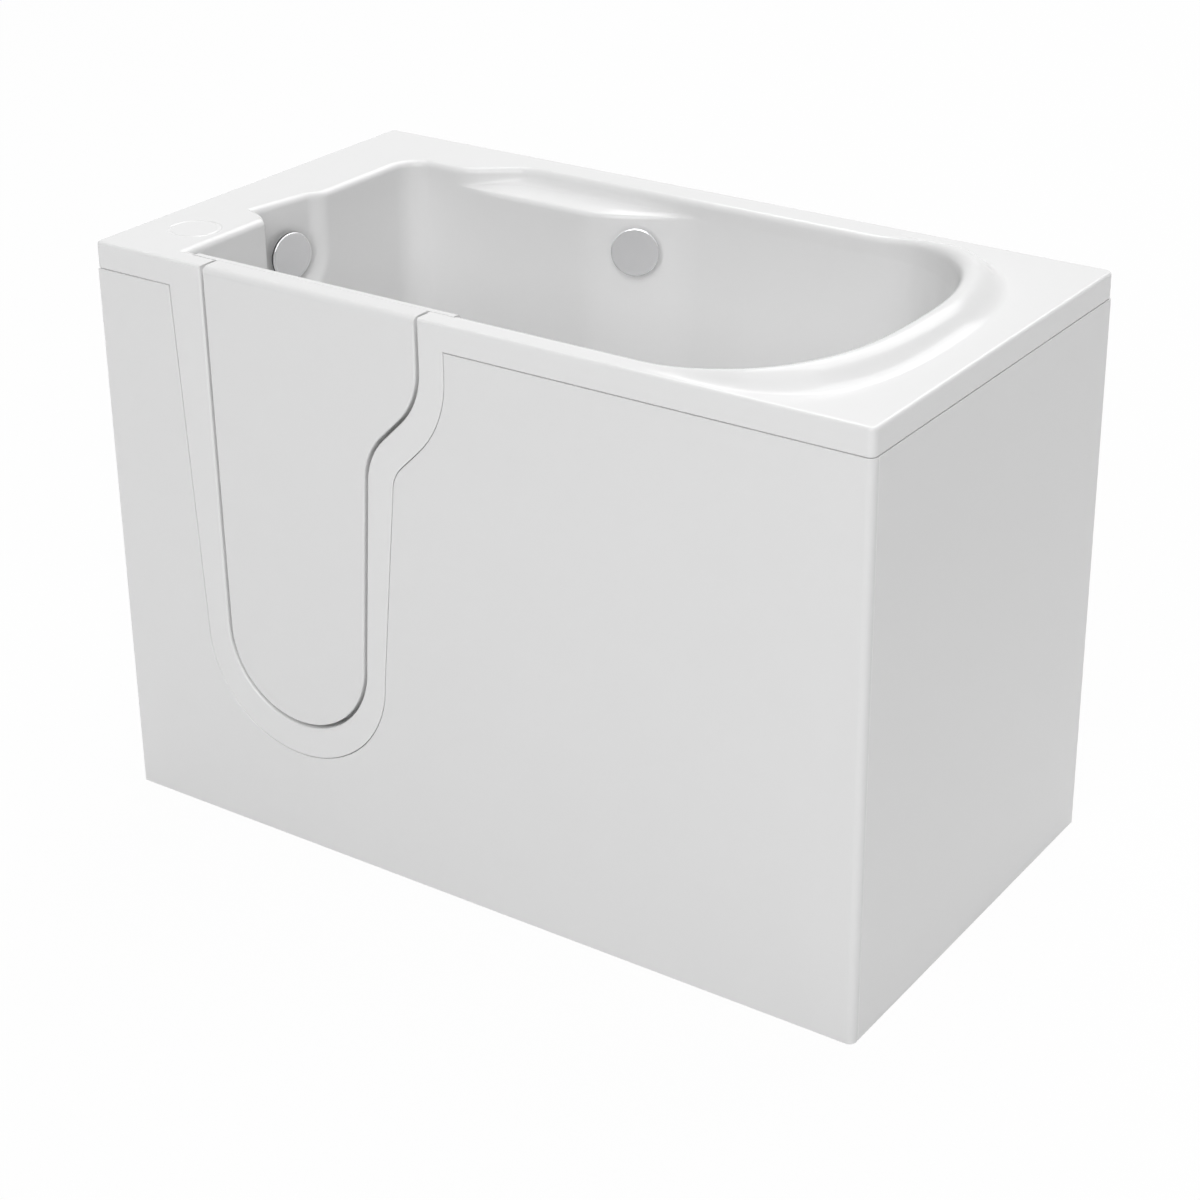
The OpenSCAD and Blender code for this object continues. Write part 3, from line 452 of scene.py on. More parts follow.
def niche_depth(y, z, out):
    """The left wall's x in and around the knob's niche, and the share of the niche there.

    The niche is a slot with a half-round foot. The share goes from 0 to 1 as an S inside its
    outline, over NICHE_SOFT mm at the door post and NICHE_SOFTER mm at the back and the foot."""
    away = np.where(z > NICHE_Z, np.abs(y - NICHE_Y), np.hypot(y - NICHE_Y, z - NICHE_Z))
    softer = np.maximum(ease((y - SOFTER_Y) / SOFTER_Y_RUN), ease((SOFTER_Z - z) / SOFTER_Z_RUN))
    soft = NICHE_SOFT + (NICHE_SOFTER - NICHE_SOFT) * softer
    share = ease((NICHE_HALF + out - away + NICHE_OUT) / soft)
    return NICHE_X + NICHE_SLOPE * (y - NICHE_Y) - out, share


def drafted_left(z):
    """The left wall's x before the niche: it leans in by LEFT_DRAFT from the deck to the floor."""
    return RIM_LEFT + LEFT_DRAFT * (DECK_H - z) / (DECK_H - FLOOR_H)


def left_wall(y, z, out, inset):
    """The left wall's x: a slight draft, the niche cut back and the door post brought forward."""
    x = drafted_left(z) - out
    back, share = niche_depth(y, z, out)
    x = x + (np.minimum(back, x) - x) * share + inset
    post = POST_OUT * ease((POST_Y - y) / POST_OUT) if out == 0 else 0 * y
    return np.where(post > 0, np.maximum(x, RIM_LEFT + post), x)


print("headrest's crest:", crest(BATH_L), "mm; back rest at the seat: x", round(float(end_x(SEAT_H))))


# %% One row of the moulding
# SIDES are the columns at which the right end, the back and the left side start.
BEFORE_ARM, PAST_ARM = 150.0, 700.0
SIDES = [NF - 1, NF + NL - 2, 2 * NF + NL - 3]


def end_curve(phi, z, size, half, bulge):
    """x and y on the round end: an ellipse about (ROUND_X, MID_Y) whose cosine and sine are raised
    to the power 2 / bulge, which fills out its corners. Half is its half width in y."""
    power = 2 / bulge
    x = ROUND_X + (end_x(z) + size - ROUND_X) * np.cos(phi) ** power
    return np.stack([x, MID_Y + half * np.sign(phi) * np.abs(np.sin(phi)) ** power])


def ring(z, share, out, grow, a):
    """One closed row of the moulding, as x and y for all columns.

    z is each column's height, share the armrest's share, out the distance outside the bathing
    side, grow the extra step outwards of the rim and deck, and a the angle in the foot's fillet."""
    turn = 1 - math.cos(a)
    zf, zr, zb, zl = np.split(z, SIDES)
    gf, gr, gb, gl = np.split(np.broadcast_to(grow, z.shape), SIDES)

    def step(radius, more):
        return out + more - (radius + out) * turn

    sb = np.split(share, SIDES)[2]
    inset = (FOOT_L + out) * turn
    # Front, from the left corner to the split on the round end.
    m, n = len(front_x), len(end_phi)
    side_y = RIM_FRONT - step(FOOT_F, gf[: CORNER_N + m])
    corner_x = left_wall(side_y[:1], zf[:1], out, inset)[0] - gf[0]
    straight = front_x + out * front_nx
    fx = np.concatenate([corner_x + (straight[0] - corner_x) * corner_blend, straight])
    size = step(FOOT_F + (FOOT_END - FOOT_F) * end_blend[:-1], gf[CORNER_N + m :])
    curve = end_curve(-end_phi[:-1], zf[CORNER_N + m :], size, MID_Y - RIM_FRONT + size, ROUND_FRONT)
    front = np.concatenate([[fx, side_y], curve], 1)
    # The round end.
    phi = right_phi[:-1]
    size = step(FOOT_END, gr)
    half_back = back_wall(np.full(len(phi), PAST_ARM), zr, 0) - MID_Y
    half = np.where(phi < 0, MID_Y - RIM_FRONT, half_back) + size
    right = end_curve(phi, zr, size, half, np.where(phi < 0, ROUND_FRONT, ROUND_BACK))
    # Back, from the split to the rounded left corner.
    size = step(FOOT_L + (FOOT_END - FOOT_L) * end_blend[::-1], gb[:n])
    half = back_wall(np.full(n, PAST_ARM), zb[:n], 0) - MID_Y
    curve = end_curve(end_phi[::-1], zb[:n], size, half + size, ROUND_BACK)
    sx = straight[::-1]
    sy = back_wall(sx, zb[n : n + m], sb[n : n + m]) + step(FOOT_L, gb[n : n + m])
    reach = CORNER_R + step(FOOT_L, gb[-1])
    centre_y = back_wall(np.full(1, BEFORE_ARM), zb[-1:], 0)[0] - CORNER_R
    centre_x = drafted_left(zb[-1]) + CORNER_R

    def corner(start):
        arc = np.radians(np.linspace(start, start + 45, CORNER_N + 1))[:-1]
        return np.stack([centre_x + reach * np.cos(arc), centre_y + reach * np.sin(arc)])

    back = np.concatenate([curve, [sx, sy], corner(90)[:, 1:]], 1)
    # Left, from the middle of the back corner to the front corner.
    wx = left_wall(left_y, zl[CORNER_N:], out, inset) - gl[CORNER_N:]
    return np.concatenate([front, right, back, corner(135), [wx, left_y]], 1)


COLUMNS = 2 * (NF - 1) + 2 * (NL - 1)
print("columns:", COLUMNS)

# %% [markdown]
# The rows share the columns. In the first rows under the rim the back wall's columns follow the
# armrest's profile, so that its flat shelf gets as many rows as its upright parts, while the left
# wall's columns stay evenly spaced, which the niche needs.

# %% The armrest's profile
TOP_ROWS, LOW_ROWS, ARM_LOW = 56, 20, 685.0
ARM_FALL, ARM_IN, ARM_NOSE = 4.0, 12.0, 8.0


def armrest_profile(count):
    """Heights and shares along the armrest: wall, hollow round, shelf, nose, wall, at equal steps
    of each. The shelf falls by ARM_FALL from its hollow round of ARM_IN to its nose of ARM_NOSE."""
    part = count // 7
    inner = ARM_Z + ARM_FALL
    wall = np.linspace(DECK_H - RIM_R, inner + ARM_IN, part, endpoint=False)
    a = np.radians(np.linspace(0, 90, part + 2, endpoint=False))
    inner_z, inner_s = inner + ARM_IN * (1 - np.sin(a)), 1 - ARM_IN * (1 - np.cos(a)) / ARM_W
    shelf_s = np.linspace(1 - ARM_IN / ARM_W, ARM_NOSE / ARM_W, 2 * part, endpoint=False)
    shelf_z = np.linspace(inner, ARM_Z, 2 * part, endpoint=False)
    nose_s = ARM_NOSE * (1 - np.sin(a)) / ARM_W
    nose_z = ARM_Z - ARM_NOSE * (1 - np.cos(a))
    rest = count - 3 * part - 2 * len(a)
    low = np.linspace(ARM_Z - ARM_NOSE, ARM_LOW, rest)
    z = np.concatenate([wall, inner_z, shelf_z, nose_z, low])
    share = np.concatenate([np.ones(len(wall)), inner_s, shelf_s, nose_s, np.zeros(rest)])
    return z, share


arm_z, arm_share = armrest_profile(TOP_ROWS)
print("armrest from", DECK_H - RIM_R, "down to", ARM_LOW, "mm in", len(arm_z), "rows")


# %% What each column needs
def by_side(front, right, back, left):
    """One value for each column. The front's and the back's values run from left to right, and the
    one that the next side starts with is left out. The other two sides may have one number each."""
    right, left = (np.broadcast_to(value, NL - 1) for value in (right, left))
    return np.concatenate([front[:-1], right, back[::-1][:-1], left])


def along(corner, straight, end):
    """Values for a long side's corner, straight part and round end, each one number or one each."""
    counts = (CORNER_N, len(front_x), len(end_phi))
    return np.concatenate([np.broadcast_to(v, n) for v, n in zip((corner, straight, end), counts)])


HEAD_SOFT_X, HEAD_SOFT_RUN, CORNER_RUN = 940.0, 120.0, 50.0
ARM_START, ARM_START_RUN, ARM_STOP, ARM_STOP_RUN = 150.0, 50.0, 690.0, 80.0
plain_z = np.concatenate([
    np.linspace(DECK_H - RIM_R, ARM_LOW, TOP_ROWS), np.linspace(ARM_LOW, FLOOR_H + FOOT_L, LOW_ROWS + 1)[1:]
])
drop = (DECK_H - RIM_R - plain_z) / (DECK_H - RIM_R - FLOOR_H - FOOT_L)
END_L = BATH_L - RIM_RIGHT - ROUND_X
front_all, back_all = (
    along(RIM_LEFT + CORNER_RUN * corner_blend, front_x, ROUND_X + END_L * np.cos(end_phi) ** (2 / bulge))
    for bulge in (ROUND_FRONT, ROUND_BACK)
)
right_power = 2 / np.where(right_phi < 0, ROUND_FRONT, ROUND_BACK)
column_x = by_side(front_all, (ROUND_X + END_L * np.cos(right_phi) ** right_power)[:-1], back_all, RIM_LEFT)
foot_all = along(FLOOR_H, front_z, SEAT_H)
column_foot = by_side(foot_all, SEAT_H, foot_all, FLOOR_H)
shift_all = along(-1, front_nz, -1)
column_shift = by_side(shift_all, -1, shift_all, -1)
front_round = along(FOOT_L + (FOOT_F - FOOT_L) * corner_blend, FOOT_F, FOOT_F + (FOOT_END - FOOT_F) * end_blend)
back_round = along(FOOT_L, FOOT_L, FOOT_L + (FOOT_END - FOOT_L) * end_blend)
column_round = by_side(front_round, FOOT_END, back_round, FOOT_L)
rim = crest(column_x + RIM_R)
head_round = RIM_R + (HEAD_R - RIM_R) * ease((column_x - HEAD_SOFT_X) / HEAD_SOFT_RUN)
arm_on, arm_off = (column_x - ARM_START) / ARM_START_RUN, (ARM_STOP - column_x) / ARM_STOP_RUN
arm_weight = ease(arm_on) * ease(arm_off) * by_side(np.zeros(NF), 0, np.ones(NF), 0)
print("rows down the wall:", len(drop))


# %% The rows from the foot to the lip and back
def wall_row(i, out):
    """Row i of the wall: each column's height is its share of the way from the rim to its foot."""
    low, top = column_foot + out * column_shift + column_round + out, rim - head_round
    z = top - drop[i] * (top - low)
    share = np.zeros(COLUMNS)
    if i < TOP_ROWS:
        z = z + (arm_z[i] - out - z) * arm_weight
        share = arm_share[i] * arm_weight**2
    return np.vstack([ring(z, share, out, 0.0, 0.0), z])


def foot_row(a, out):
    """A row of the fillet at the foot: its height and its step inwards go round a quarter circle."""
    z = column_foot + out * column_shift + (column_round + out) * (1 - math.sin(a))
    return np.vstack([ring(z, np.zeros(COLUMNS), out, 0.0, a), z])


def rim_row(a, out):
    """A row of the rim's round, from the wall at a = 0 up to the deck at a = 90 degrees."""
    z = rim - head_round + (head_round - out) * math.sin(a)
    grow = head_round - (head_round - out) * math.cos(a) - out
    return np.vstack([ring(rim - head_round, arm_weight, out, grow, 0.0), z])


end_turn = along(0, 0, np.cos(end_phi))
roll_turn = by_side(end_turn, np.cos(right_phi)[:-1], end_turn, 0)
roll_width = HEAD_SIDE + (HEAD_W - HEAD_SIDE) * ease(roll_turn) - (head_round - RIM_R)


def roll_row(t, out):
    """A row across the headrest's outer slope: half a cosine wave from the rim down to the deck."""
    z = DECK_H - out + (rim - DECK_H) * (1 + math.cos(math.pi * t)) / 2
    return np.vstack([ring(rim - head_round, arm_weight, out, head_round - out + roll_width * t, 0.0), z])


# %% [markdown]
# The deck is drawn from the foot of the headrest's slope out to a rectangle with small round
# corners. The outer edge has a 5 mm round, and the lip turns down and back under.

# %% The outer edge
PLAN_R, EDGE_R, ARC_N, SPREAD_Y = 10.0, 5.0, 5, 278
FIRST, LAST_X, LAST_Y = 11, BATH_L - 11, BATH_W - 11
# Places on the rim, and where they come out on the outer edge.
LONG_RIM, LONG_EDGE = (132, 230, 900, 1060), (FIRST, 225, 900, LAST_X)
LEFT_RIM, LEFT_EDGE = (40, 200, 356, 528), (FIRST, 190, 380, LAST_Y)


def edge_track(inset):
    """The outer rectangle, inset by some mm, as x and y for all columns.

    A side starts and ends on the middle of a corner's arc: along is r less (r - inset) sin a and
    the depth is r less (r - inset) cos a. Between the arcs the points keep their own places."""
    a = np.radians(np.linspace(45, 0, ARC_N))
    on_arc = PLAN_R - (PLAN_R - inset) * np.sin(a)
    off_arc = PLAN_R - (PLAN_R - inset) * np.cos(a)

    def side(count, length, places):
        along = np.concatenate([on_arc, places, length - on_arc[::-1]])[:count]
        depth = np.concatenate([off_arc, np.full(len(places), inset), off_arc[::-1]])[:count]
        return along[:-1], depth[:-1]

    long_places = np.interp(front_all, LONG_RIM, LONG_EDGE)[ARC_N:-ARC_N]
    half = MID_Y + SPREAD_Y * np.sign(right_phi) * np.abs(np.sin(right_phi)) ** right_power
    right_places = np.interp(half, [half[0], half[-1]], [FIRST, LAST_Y])[ARC_N:-ARC_N]
    loop_y = np.concatenate([np.linspace(LEFT_RIM[-1], 500, CORNER_N), left_y, [RIM_FRONT]])
    left_places = (BATH_W - np.interp(loop_y, LEFT_RIM, LEFT_EDGE))[ARC_N:-ARC_N]
    fx, fy = side(NF, BATH_L, long_places)
    ry, rd = side(NL, BATH_W, right_places)
    bx, bd = side(NF, BATH_L, BATH_L - long_places[::-1])
    ly, ld = side(NL, BATH_W, left_places)
    return np.stack([
        np.concatenate([fx, BATH_L - rd, BATH_L - bx, ld]),
        np.concatenate([fy, ry, BATH_W - bd, BATH_W - ly]),
    ])


def flat_row(inner, outer, share, z):
    """A row between two rows in plan, at height z."""
    plan = inner[:2] + (outer - inner[:2]) * share
    return np.vstack([plan, np.broadcast_to(z, COLUMNS)])


def edge_row(inset, z):
    """A row on the outer rectangle, inset by some mm, at height z."""
    return np.vstack([edge_track(inset), np.full(COLUMNS, z)])


print("outer corner's radius:", PLAN_R, "mm, edge's radius:", EDGE_R, "mm")

# %% All rows, from the foot over the deck and the lip and back down on the underside
quarter = np.radians(np.linspace(0, 90, 6))
foot_arc = np.radians(np.linspace(90, 0, 9))
rows = [foot_row(a, 0) for a in foot_arc[:-1]]
rows += [wall_row(i, 0) for i in range(len(drop) - 1, -1, -1)]
rows += [rim_row(a, 0) for a in np.radians(np.linspace(0, 90, 7))[1:]]
rows += [roll_row(t, 0) for t in np.linspace(0, 1, 13)[1:]]
deck_out = edge_track(EDGE_R)
rows += [flat_row(rows[-1], deck_out, s, DECK_H) for s in (0.2, 0.4, 0.6, 0.8)]
rows += [edge_row(EDGE_R * (1 - math.sin(a)), DECK_H - EDGE_R * (1 - math.cos(a))) for a in quarter]
lip = ((0, LIP_TOP + 1), (1, LIP_TOP), (SKIN, LIP_TOP), (SKIN, DECK_H - SKIN))
rows += [edge_row(inset, z) for inset, z in lip]
under = roll_row(1, SKIN)
rows += [flat_row(under, edge_track(SKIN), 0.5, DECK_H - SKIN), under]
rows += [roll_row(t, SKIN) for t in (0.75, 0.5, 0.25, 0)]
rows += [rim_row(a, SKIN) for a in np.radians((60, 30, 0))]
rows += [wall_row(i, SKIN) for i in range(2, len(drop), 2)]
rows += [foot_row(a, SKIN) for a in np.radians((0, 30, 60, 90))]
print("rows:", len(rows), "quads:", len(rows) * COLUMNS)

# %% The floor and the seat
BLEND_X, BLEND_RUN, BULGE_COLUMNS = 250, 400, 6


def floor_patch(foot):
    """A grid inside the foot row: straight lines from front to back, bulged to the row's own ends.

    Column j lies at the same share of the width as the left wall's column does, and changes over
    to the round end's shares on the way to the seat. The end's bulge grows beyond the seat."""
    i, j, k = SIDES
    f, r, b = foot[:, : i + 1], foot[:, i : j + 1], foot[:, j : k + 1][:, ::-1]
    left = np.concatenate([foot[:, k:], foot[:, :1]], 1)[:, ::-1]
    share_l = (left[1] - f[1, 0]) / (b[1, 0] - f[1, 0])
    share_r = (r[1] - r[1, 0]) / (r[1, -1] - r[1, 0])
    w = ease((f[0] - BLEND_X) / BLEND_RUN)[:, None]
    share = share_l * (1 - w) + share_r * w
    share[0], share[-1] = share_l, share_r
    grid = f[:, :, None] * (1 - share) + b[:, :, None] * share
    bulge_l = left[0] - (f[0, 0] * (1 - share_l) + b[0, 0] * share_l)
    bulge_r = r[0] - (f[0, -1] * (1 - share_r) + b[0, -1] * share_r)
    near_l = np.maximum(0, 1 - np.arange(NF) / BULGE_COLUMNS)[:, None]
    near_r = np.clip((f[0] - ROUND_X) / (f[0, -1] - ROUND_X), 0, 1)[:, None]
    grid[0] += near_l * bulge_l + near_r * bulge_r
    return grid.reshape(3, -1).T


ring_points = np.concatenate([row.T for row in rows])
patches = [floor_patch(rows[0]), floor_patch(rows[-1])]
shell_points = np.concatenate([ring_points, *patches])
patch_faces = grid_faces(NF, NL)
shell_faces = np.concatenate([
    grid_faces(len(rows), COLUMNS, wrap=True),
    patch_faces + len(ring_points),
    patch_faces + len(ring_points) + len(patches[0]),
])
shell = piece("moulded_bath", (shell_points, shell_faces), "tub", "acrylic", ["bath_shell"])
print("moulded bath:", len(shell.data.polygons), "faces")

# %% [markdown]
# ## The doorway
# The doorway's outline is straight on the hinge side, round at the foot, and swings outwards near
# the top on the latch side. The same outline, grown or shrunk by a few mm, makes the frame's band,
# the opening, both leaves of the door, the seal and the cut in the front panel.


# %% The outline
# Each outline's left side, the ellipse's two ends, its lowest point and its centre's height, where
# the leaning side ends, the right side, and the radii of the arc outwards and the arc upright.
DOORWAY = dict(left=190, start=195, end=443, low=191, middle=316, lean=461, right=554, outwards=98, upright=113)
BAND = dict(left=132, start=158, end=474, low=145, middle=302, lean=503, right=594, outwards=52, upright=155)
SWING_Z, SWING_TURN = DECK_H - 251, math.radians(45)


def doorway_outline(grown, top, shape=DOORWAY, steps=10):
    """The doorway as x and z: left side, half ellipse, leaning side, two arcs outwards, right side.

    The ellipse is centre plus radius times cosine and sine. The first arc turns about a centre on
    the right through 45 degrees, and the second about one on the left back to upright."""
    left, right, lean, first, second = (shape[k] for k in ("left", "right", "lean", "outwards", "upright"))
    wide, deep = (shape["end"] - shape["start"]) / 2 + grown, shape["middle"] - shape["low"] + grown
    rise = (first + second) * math.sin(SWING_TURN)
    slant = right - lean - (first + second) * (1 - math.cos(SWING_TURN))
    a = np.radians(np.linspace(180, 360, 4 * steps))
    b = np.linspace(0, SWING_TURN, steps)
    c = b[::-1]
    x = np.concatenate([
        [left - grown], (shape["start"] + shape["end"]) / 2 + wide * np.cos(a),
        lean + first - (first - grown) * np.cos(b), right - second + (second + grown) * np.cos(c), [right + grown],
    ])
    z = np.concatenate([
        [top], shape["middle"] + deep * np.sin(a), SWING_Z + (first - grown) * np.sin(b),
        SWING_Z + rise + slant - (second + grown) * np.sin(c), [top],
    ])
    return x, z


def fall(y, radius):
    """How far an edge of this radius has dropped back at depth y into it."""
    return radius - math.sqrt(max(0.0, radius**2 - (radius - y) ** 2)) if y < radius else 0.0


def outline_solid(steps, top, shape=DOORWAY):
    """Points and faces of a slab through the doorway's outlines, with a flat cap on either end.

    Each step is a depth y, how far the outline is grown there, and how far its top drops."""
    loops = []
    for y, grown, drop_top in steps:
        x, z = doorway_outline(grown, top - drop_top, shape)
        loops.append(np.stack([x, np.full(len(x), y), z], 1))
    return np.concatenate(loops), capped_faces(len(loops), len(loops[0]))


print("doorway outline points:", len(doorway_outline(0, DECK_H)[0]))


# %% Adding to and cutting from the moulding
def combine(target, solid, operation):
    """The target's mesh becomes its union with, or its difference from, a helper solid."""
    tool = placed("cutter", closed_mesh("cutter", *solid))
    step = target.modifiers.new("combine", "BOOLEAN")
    step.operation, step.solver, step.object = operation, "MANIFOLD", tool
    mesh = bpy.data.meshes.new_from_object(target.evaluated_get(bpy.context.evaluated_depsgraph_get()))
    target.modifiers.clear()
    old, target.data = target.data, mesh
    bpy.data.meshes.remove(old)
    bpy.data.objects.remove(tool)


BAND_EDGE, LAP, FRAME_T = 1.5, 36.0, 30.0
OVER = TOP_H + 20
band = [(y, -fall(y, BAND_EDGE), 0) for y in (0, 0.4, 0.9, BAND_EDGE, RIM_FRONT)]
combine(shell, outline_solid(band, DECK_H - 2.5, BAND), "UNION")
flare = [(-1, 3), (0, 3), (0.3, 1.9), (1, 0.9), (2, 0.2), (3, 0), (FRAME_T + 1, 0)]
combine(shell, outline_solid([(y, g, 0) for y, g in flare], OVER), "DIFFERENCE")
rebate = [(FRAME_T, 0), (37, 0), (38.5, 0.6), (40, 2.5), (41, 5)]
combine(shell, outline_solid([(y, LAP + 3 + g, 0) for y, g in rebate], OVER), "DIFFERENCE")
print("after the doorway:", len(shell.data.polygons), "faces")

# %% [markdown]
# ## Round holes
# Holes and grooves are cut by turned bodies: a profile of radius and height, carried round an axis.
# The ring in the left deck is a shallow moulded groove, inside which a tap's hole can be drilled.


# %% Turned bodies
def circle_about(axis, segments):
    """An axis of length 1, equal steps of angle round it, and the directions at those angles."""
    axis = Vector(axis).normalized()
    side = axis.orthogonal().normalized()
    other = axis.cross(side)
    a = np.linspace(0, 2 * math.pi, segments, endpoint=False)
    return np.array(axis), a, np.cos(a)[:, None] * np.array(side) + np.sin(a)[:, None] * np.array(other)


def revolved(profile, place, axis, segments=72):
    """Points and faces of a profile of (radius, height) pairs turned round an axis at a place."""
    axis, _, around = circle_about(axis, segments)
    rings = [np.array(place) + around * r + axis * h for r, h in profile]
    return np.concatenate(rings), capped_faces(len(rings), segments)


print("a turned body of 3 rings has", len(revolved([(1, 0), (2, 1), (1, 2)], (0, 0, 0), (0, 0, 1))[1]), "faces")

# %% Holes for the waste, the knob and the filler, and the tap's ring
WASTE = np.array([212.0, 278.0, 0.0])
KNOB = np.array([NICHE_X, NICHE_Y, NICHE_Z])
knob_turn, filler_turn, wall_lean = math.radians(10), math.radians(26.62), math.atan(38.5 / 683)
KNOB_AXIS = (math.cos(knob_turn), -math.sin(knob_turn), 0)
FILLER = np.array([510.0, 563.3, 767.0])
FILLER_AXIS = (
    math.cos(wall_lean) * math.sin(filler_turn), -math.cos(wall_lean) * math.cos(filler_turn), math.sin(wall_lean)
)
UP, HOLE_REACH, RING_N = (0, 0, 1), 22, 96
for place, axis, radius in ((WASTE + (0, 0, FLOOR_H), UP, 26), (KNOB, KNOB_AXIS, 18), (FILLER, FILLER_AXIS, 20)):
    combine(shell, revolved([(radius, -HOLE_REACH), (radius, HOLE_REACH)], place, axis), "DIFFERENCE")
TAP = (78.0, 115.0, DECK_H)
groove = [(30.4, 1), (31.6, -0.3), (33.4, -0.9), (35.6, -0.9), (37.4, -0.3), (38.6, 1)]
points, faces = revolved(groove, TAP, UP, RING_N)
last = (len(groove) - 1) * RING_N
top = [[i, (i + 1) % RING_N, last + (i + 1) % RING_N, last + i] for i in range(RING_N)]
combine(shell, (points, faces[:-2] + top), "DIFFERENCE")
dress(shell, "tub", "acrylic", ["bath_shell"])
weigh_normals(shell)
print("moulded bath:", len(shell.data.polygons), "faces")

# %% [markdown]
# ## The door
# The door is two moulded leaves back to back. The outer one fills the doorway with a 5 mm gap, the
# inner one laps behind the frame, and a flat rubber gasket between them and the frame keeps the
# water in. The top edges are rounded more than the sides, as on the real moulding.

# %% Door leaves and seal
GAP, LINER_Y, LINER_T = 5.0, 32.0, 15.0
SIDE_R, TOP_R, INNER_SIDE_R, INNER_TOP_R, BACK_R = 3, 11, 5, 8, 0.6
outer_y = [0, 0.3, 0.8, 1.6, 2.4, 3, 4.5, 6.5, 9, 11, LINER_Y - BACK_R, LINER_Y]
outer_steps = [
    (y, -GAP - fall(y, SIDE_R) - fall(LINER_Y - y, BACK_R), fall(y, TOP_R) + fall(LINER_Y - y, BACK_R))
    for y in outer_y
]
outer_leaf = piece("door_outer", outline_solid(outer_steps, DECK_H), "door", "door_acrylic", ["door_outer_leaf"])
inner_d = [LINER_T, LINER_T - BACK_R, 8, 6.5, 5, 3.5, 2, 1, 0.4, 0]
inner_steps = [
    (
        LINER_Y + LINER_T - d, LAP - fall(d, INNER_SIDE_R) - fall(LINER_T - d, BACK_R),
        fall(d, INNER_TOP_R) + fall(LINER_T - d, BACK_R),
    )
    for d in inner_d
]
inner_leaf = piece("door_inner", outline_solid(inner_steps, DECK_H), "door", "door_acrylic", ["door_inner_leaf"])
weigh_normals(outer_leaf, inner_leaf)
print("door leaves:", len(outer_leaf.data.polygons), len(inner_leaf.data.polygons))

# %% [markdown]
# ## The gasket
# A flat rubber strip with two soft ribs runs down both sides of the door and round its foot. The
# strip's section is a closed loop, and each of its points follows the doorway's outline.

# %% Door gasket
SEAL_IN, SEAL_OUT, SEAL_TOP, SEAL_T, SEAL_RIB = LAP / 2, LAP - 4, DECK_H - 24, 0.4, 1.4


def gasket():
    """Points and faces: across the strip the front is LINER_Y - SEAL_T - SEAL_RIB |sin|, two waves."""
    across = np.linspace(SEAL_IN, SEAL_OUT, 19)
    wave = np.abs(np.sin(2 * math.pi * (across - SEAL_IN) / (SEAL_OUT - SEAL_IN)))
    grown = np.concatenate([across, [SEAL_OUT, SEAL_IN]])
    depth = np.concatenate([LINER_Y - SEAL_T - SEAL_RIB * wave, [LINER_Y, LINER_Y]])
    loops = [doorway_outline(g, SEAL_TOP) for g in grown]
    x, z = (np.stack([loop[k] for loop in loops], 1) for k in (0, 1))
    points = np.stack([x, np.broadcast_to(depth, x.shape), z], -1)
    return points.reshape(-1, 3), capped_faces(len(points), len(grown))


seal = piece("door_gasket", gasket(), "door", "rubber", ["door_seal"])
print("gasket:", len(seal.data.polygons), "faces")

# %% [markdown]
# ## The panels
# The front panel is one sheet whose right end turns the corner, and it is cut out round the
# doorway's band. The end panel is flat with a rounded back edge. Both are drawn in plan as straight
# runs between small arcs, and that plan shrinks by an edge radius at the top and the bottom.

# %% Panels
PANEL_Z0, PANEL_Z1, PANEL_EDGE, PANEL_GAP = 2.0, LIP_TOP - 1.2, 1.2, 0.9
WRAP_R, WRAP_L, PANEL_LEFT, ARC_STEPS = 10.0, 14.0, 3, 9


def arcs_plan(arcs, inset):
    """A closed plan of arcs (x, y, radius, from, to, side): a point is the centre plus the radius,
    less the inset on outer corners and with it on inner ones, in the direction of the angle."""
    runs = []
    for x, y, r, start, end, side in arcs:
        a = np.radians(np.linspace(start, end, ARC_STEPS))
        reach = r - side * inset
        runs.append(np.stack([x + reach * np.cos(a), y + reach * np.sin(a)], 1))
    return np.concatenate(runs)


def panel(arcs):
    """Points and faces of a sheet: its plan at the foot, its edge's quarter rounds and its top."""
    a = np.radians([0, 30, 60, 90])
    foot = list(zip(PANEL_EDGE * (1 - np.sin(a)), PANEL_Z0 + PANEL_EDGE * (1 - np.cos(a))))
    levels = foot + [(inset, PANEL_Z0 + PANEL_Z1 - z) for inset, z in foot[::-1]]
    count = ARC_STEPS * len(arcs)
    loops = [np.column_stack([arcs_plan(arcs, inset), np.full(count, z)]) for inset, z in levels]
    return np.concatenate(loops), capped_faces(len(loops), count)


e = PANEL_EDGE
front_arcs = [
    (PANEL_LEFT + e, e, e, 180, 270, 1), (BATH_L - WRAP_R, WRAP_R, WRAP_R, 270, 360, 1),
    (BATH_L - e, WRAP_L - e, e, 0, 90, 1), (BATH_L - SKIN + e, WRAP_L - e, e, 90, 180, 1),
    (BATH_L - WRAP_R, WRAP_R, WRAP_R - SKIN, 360, 270, -1), (PANEL_LEFT + e, SKIN - e, e, 90, 180, 1),
]
front_panel = piece("front_sheet", panel(front_arcs), "tub", "panel_acrylic", ["front_panel"])
cut = [(-1, e), (0, e), (0.2, 0.75 * e), (0.5, 0.35 * e), (1, 0.08 * e), (e, 0), (SKIN + 1, 0)]
combine(front_panel, outline_solid([(y, PANEL_GAP + g, 0) for y, g in cut], LIP_TOP + 20, BAND), "DIFFERENCE")
dress(front_panel, "tub", "panel_acrylic", ["front_panel"])
end_arcs = [
    (BATH_L - SKIN + e, WRAP_L + 0.5 + e, e, 180, 270, 1), (BATH_L - e, WRAP_L + 0.5 + e, e, 270, 360, 1),
    (BATH_L - SKIN, BATH_W - SKIN, SKIN, 0, 76, 1), (BATH_L - SKIN + 1.3, BATH_W - 1.4, 1.3, 95, 180, 1),
]
end_panel = piece("end_sheet", panel(end_arcs), "tub", "panel_acrylic", ["end_panel"])
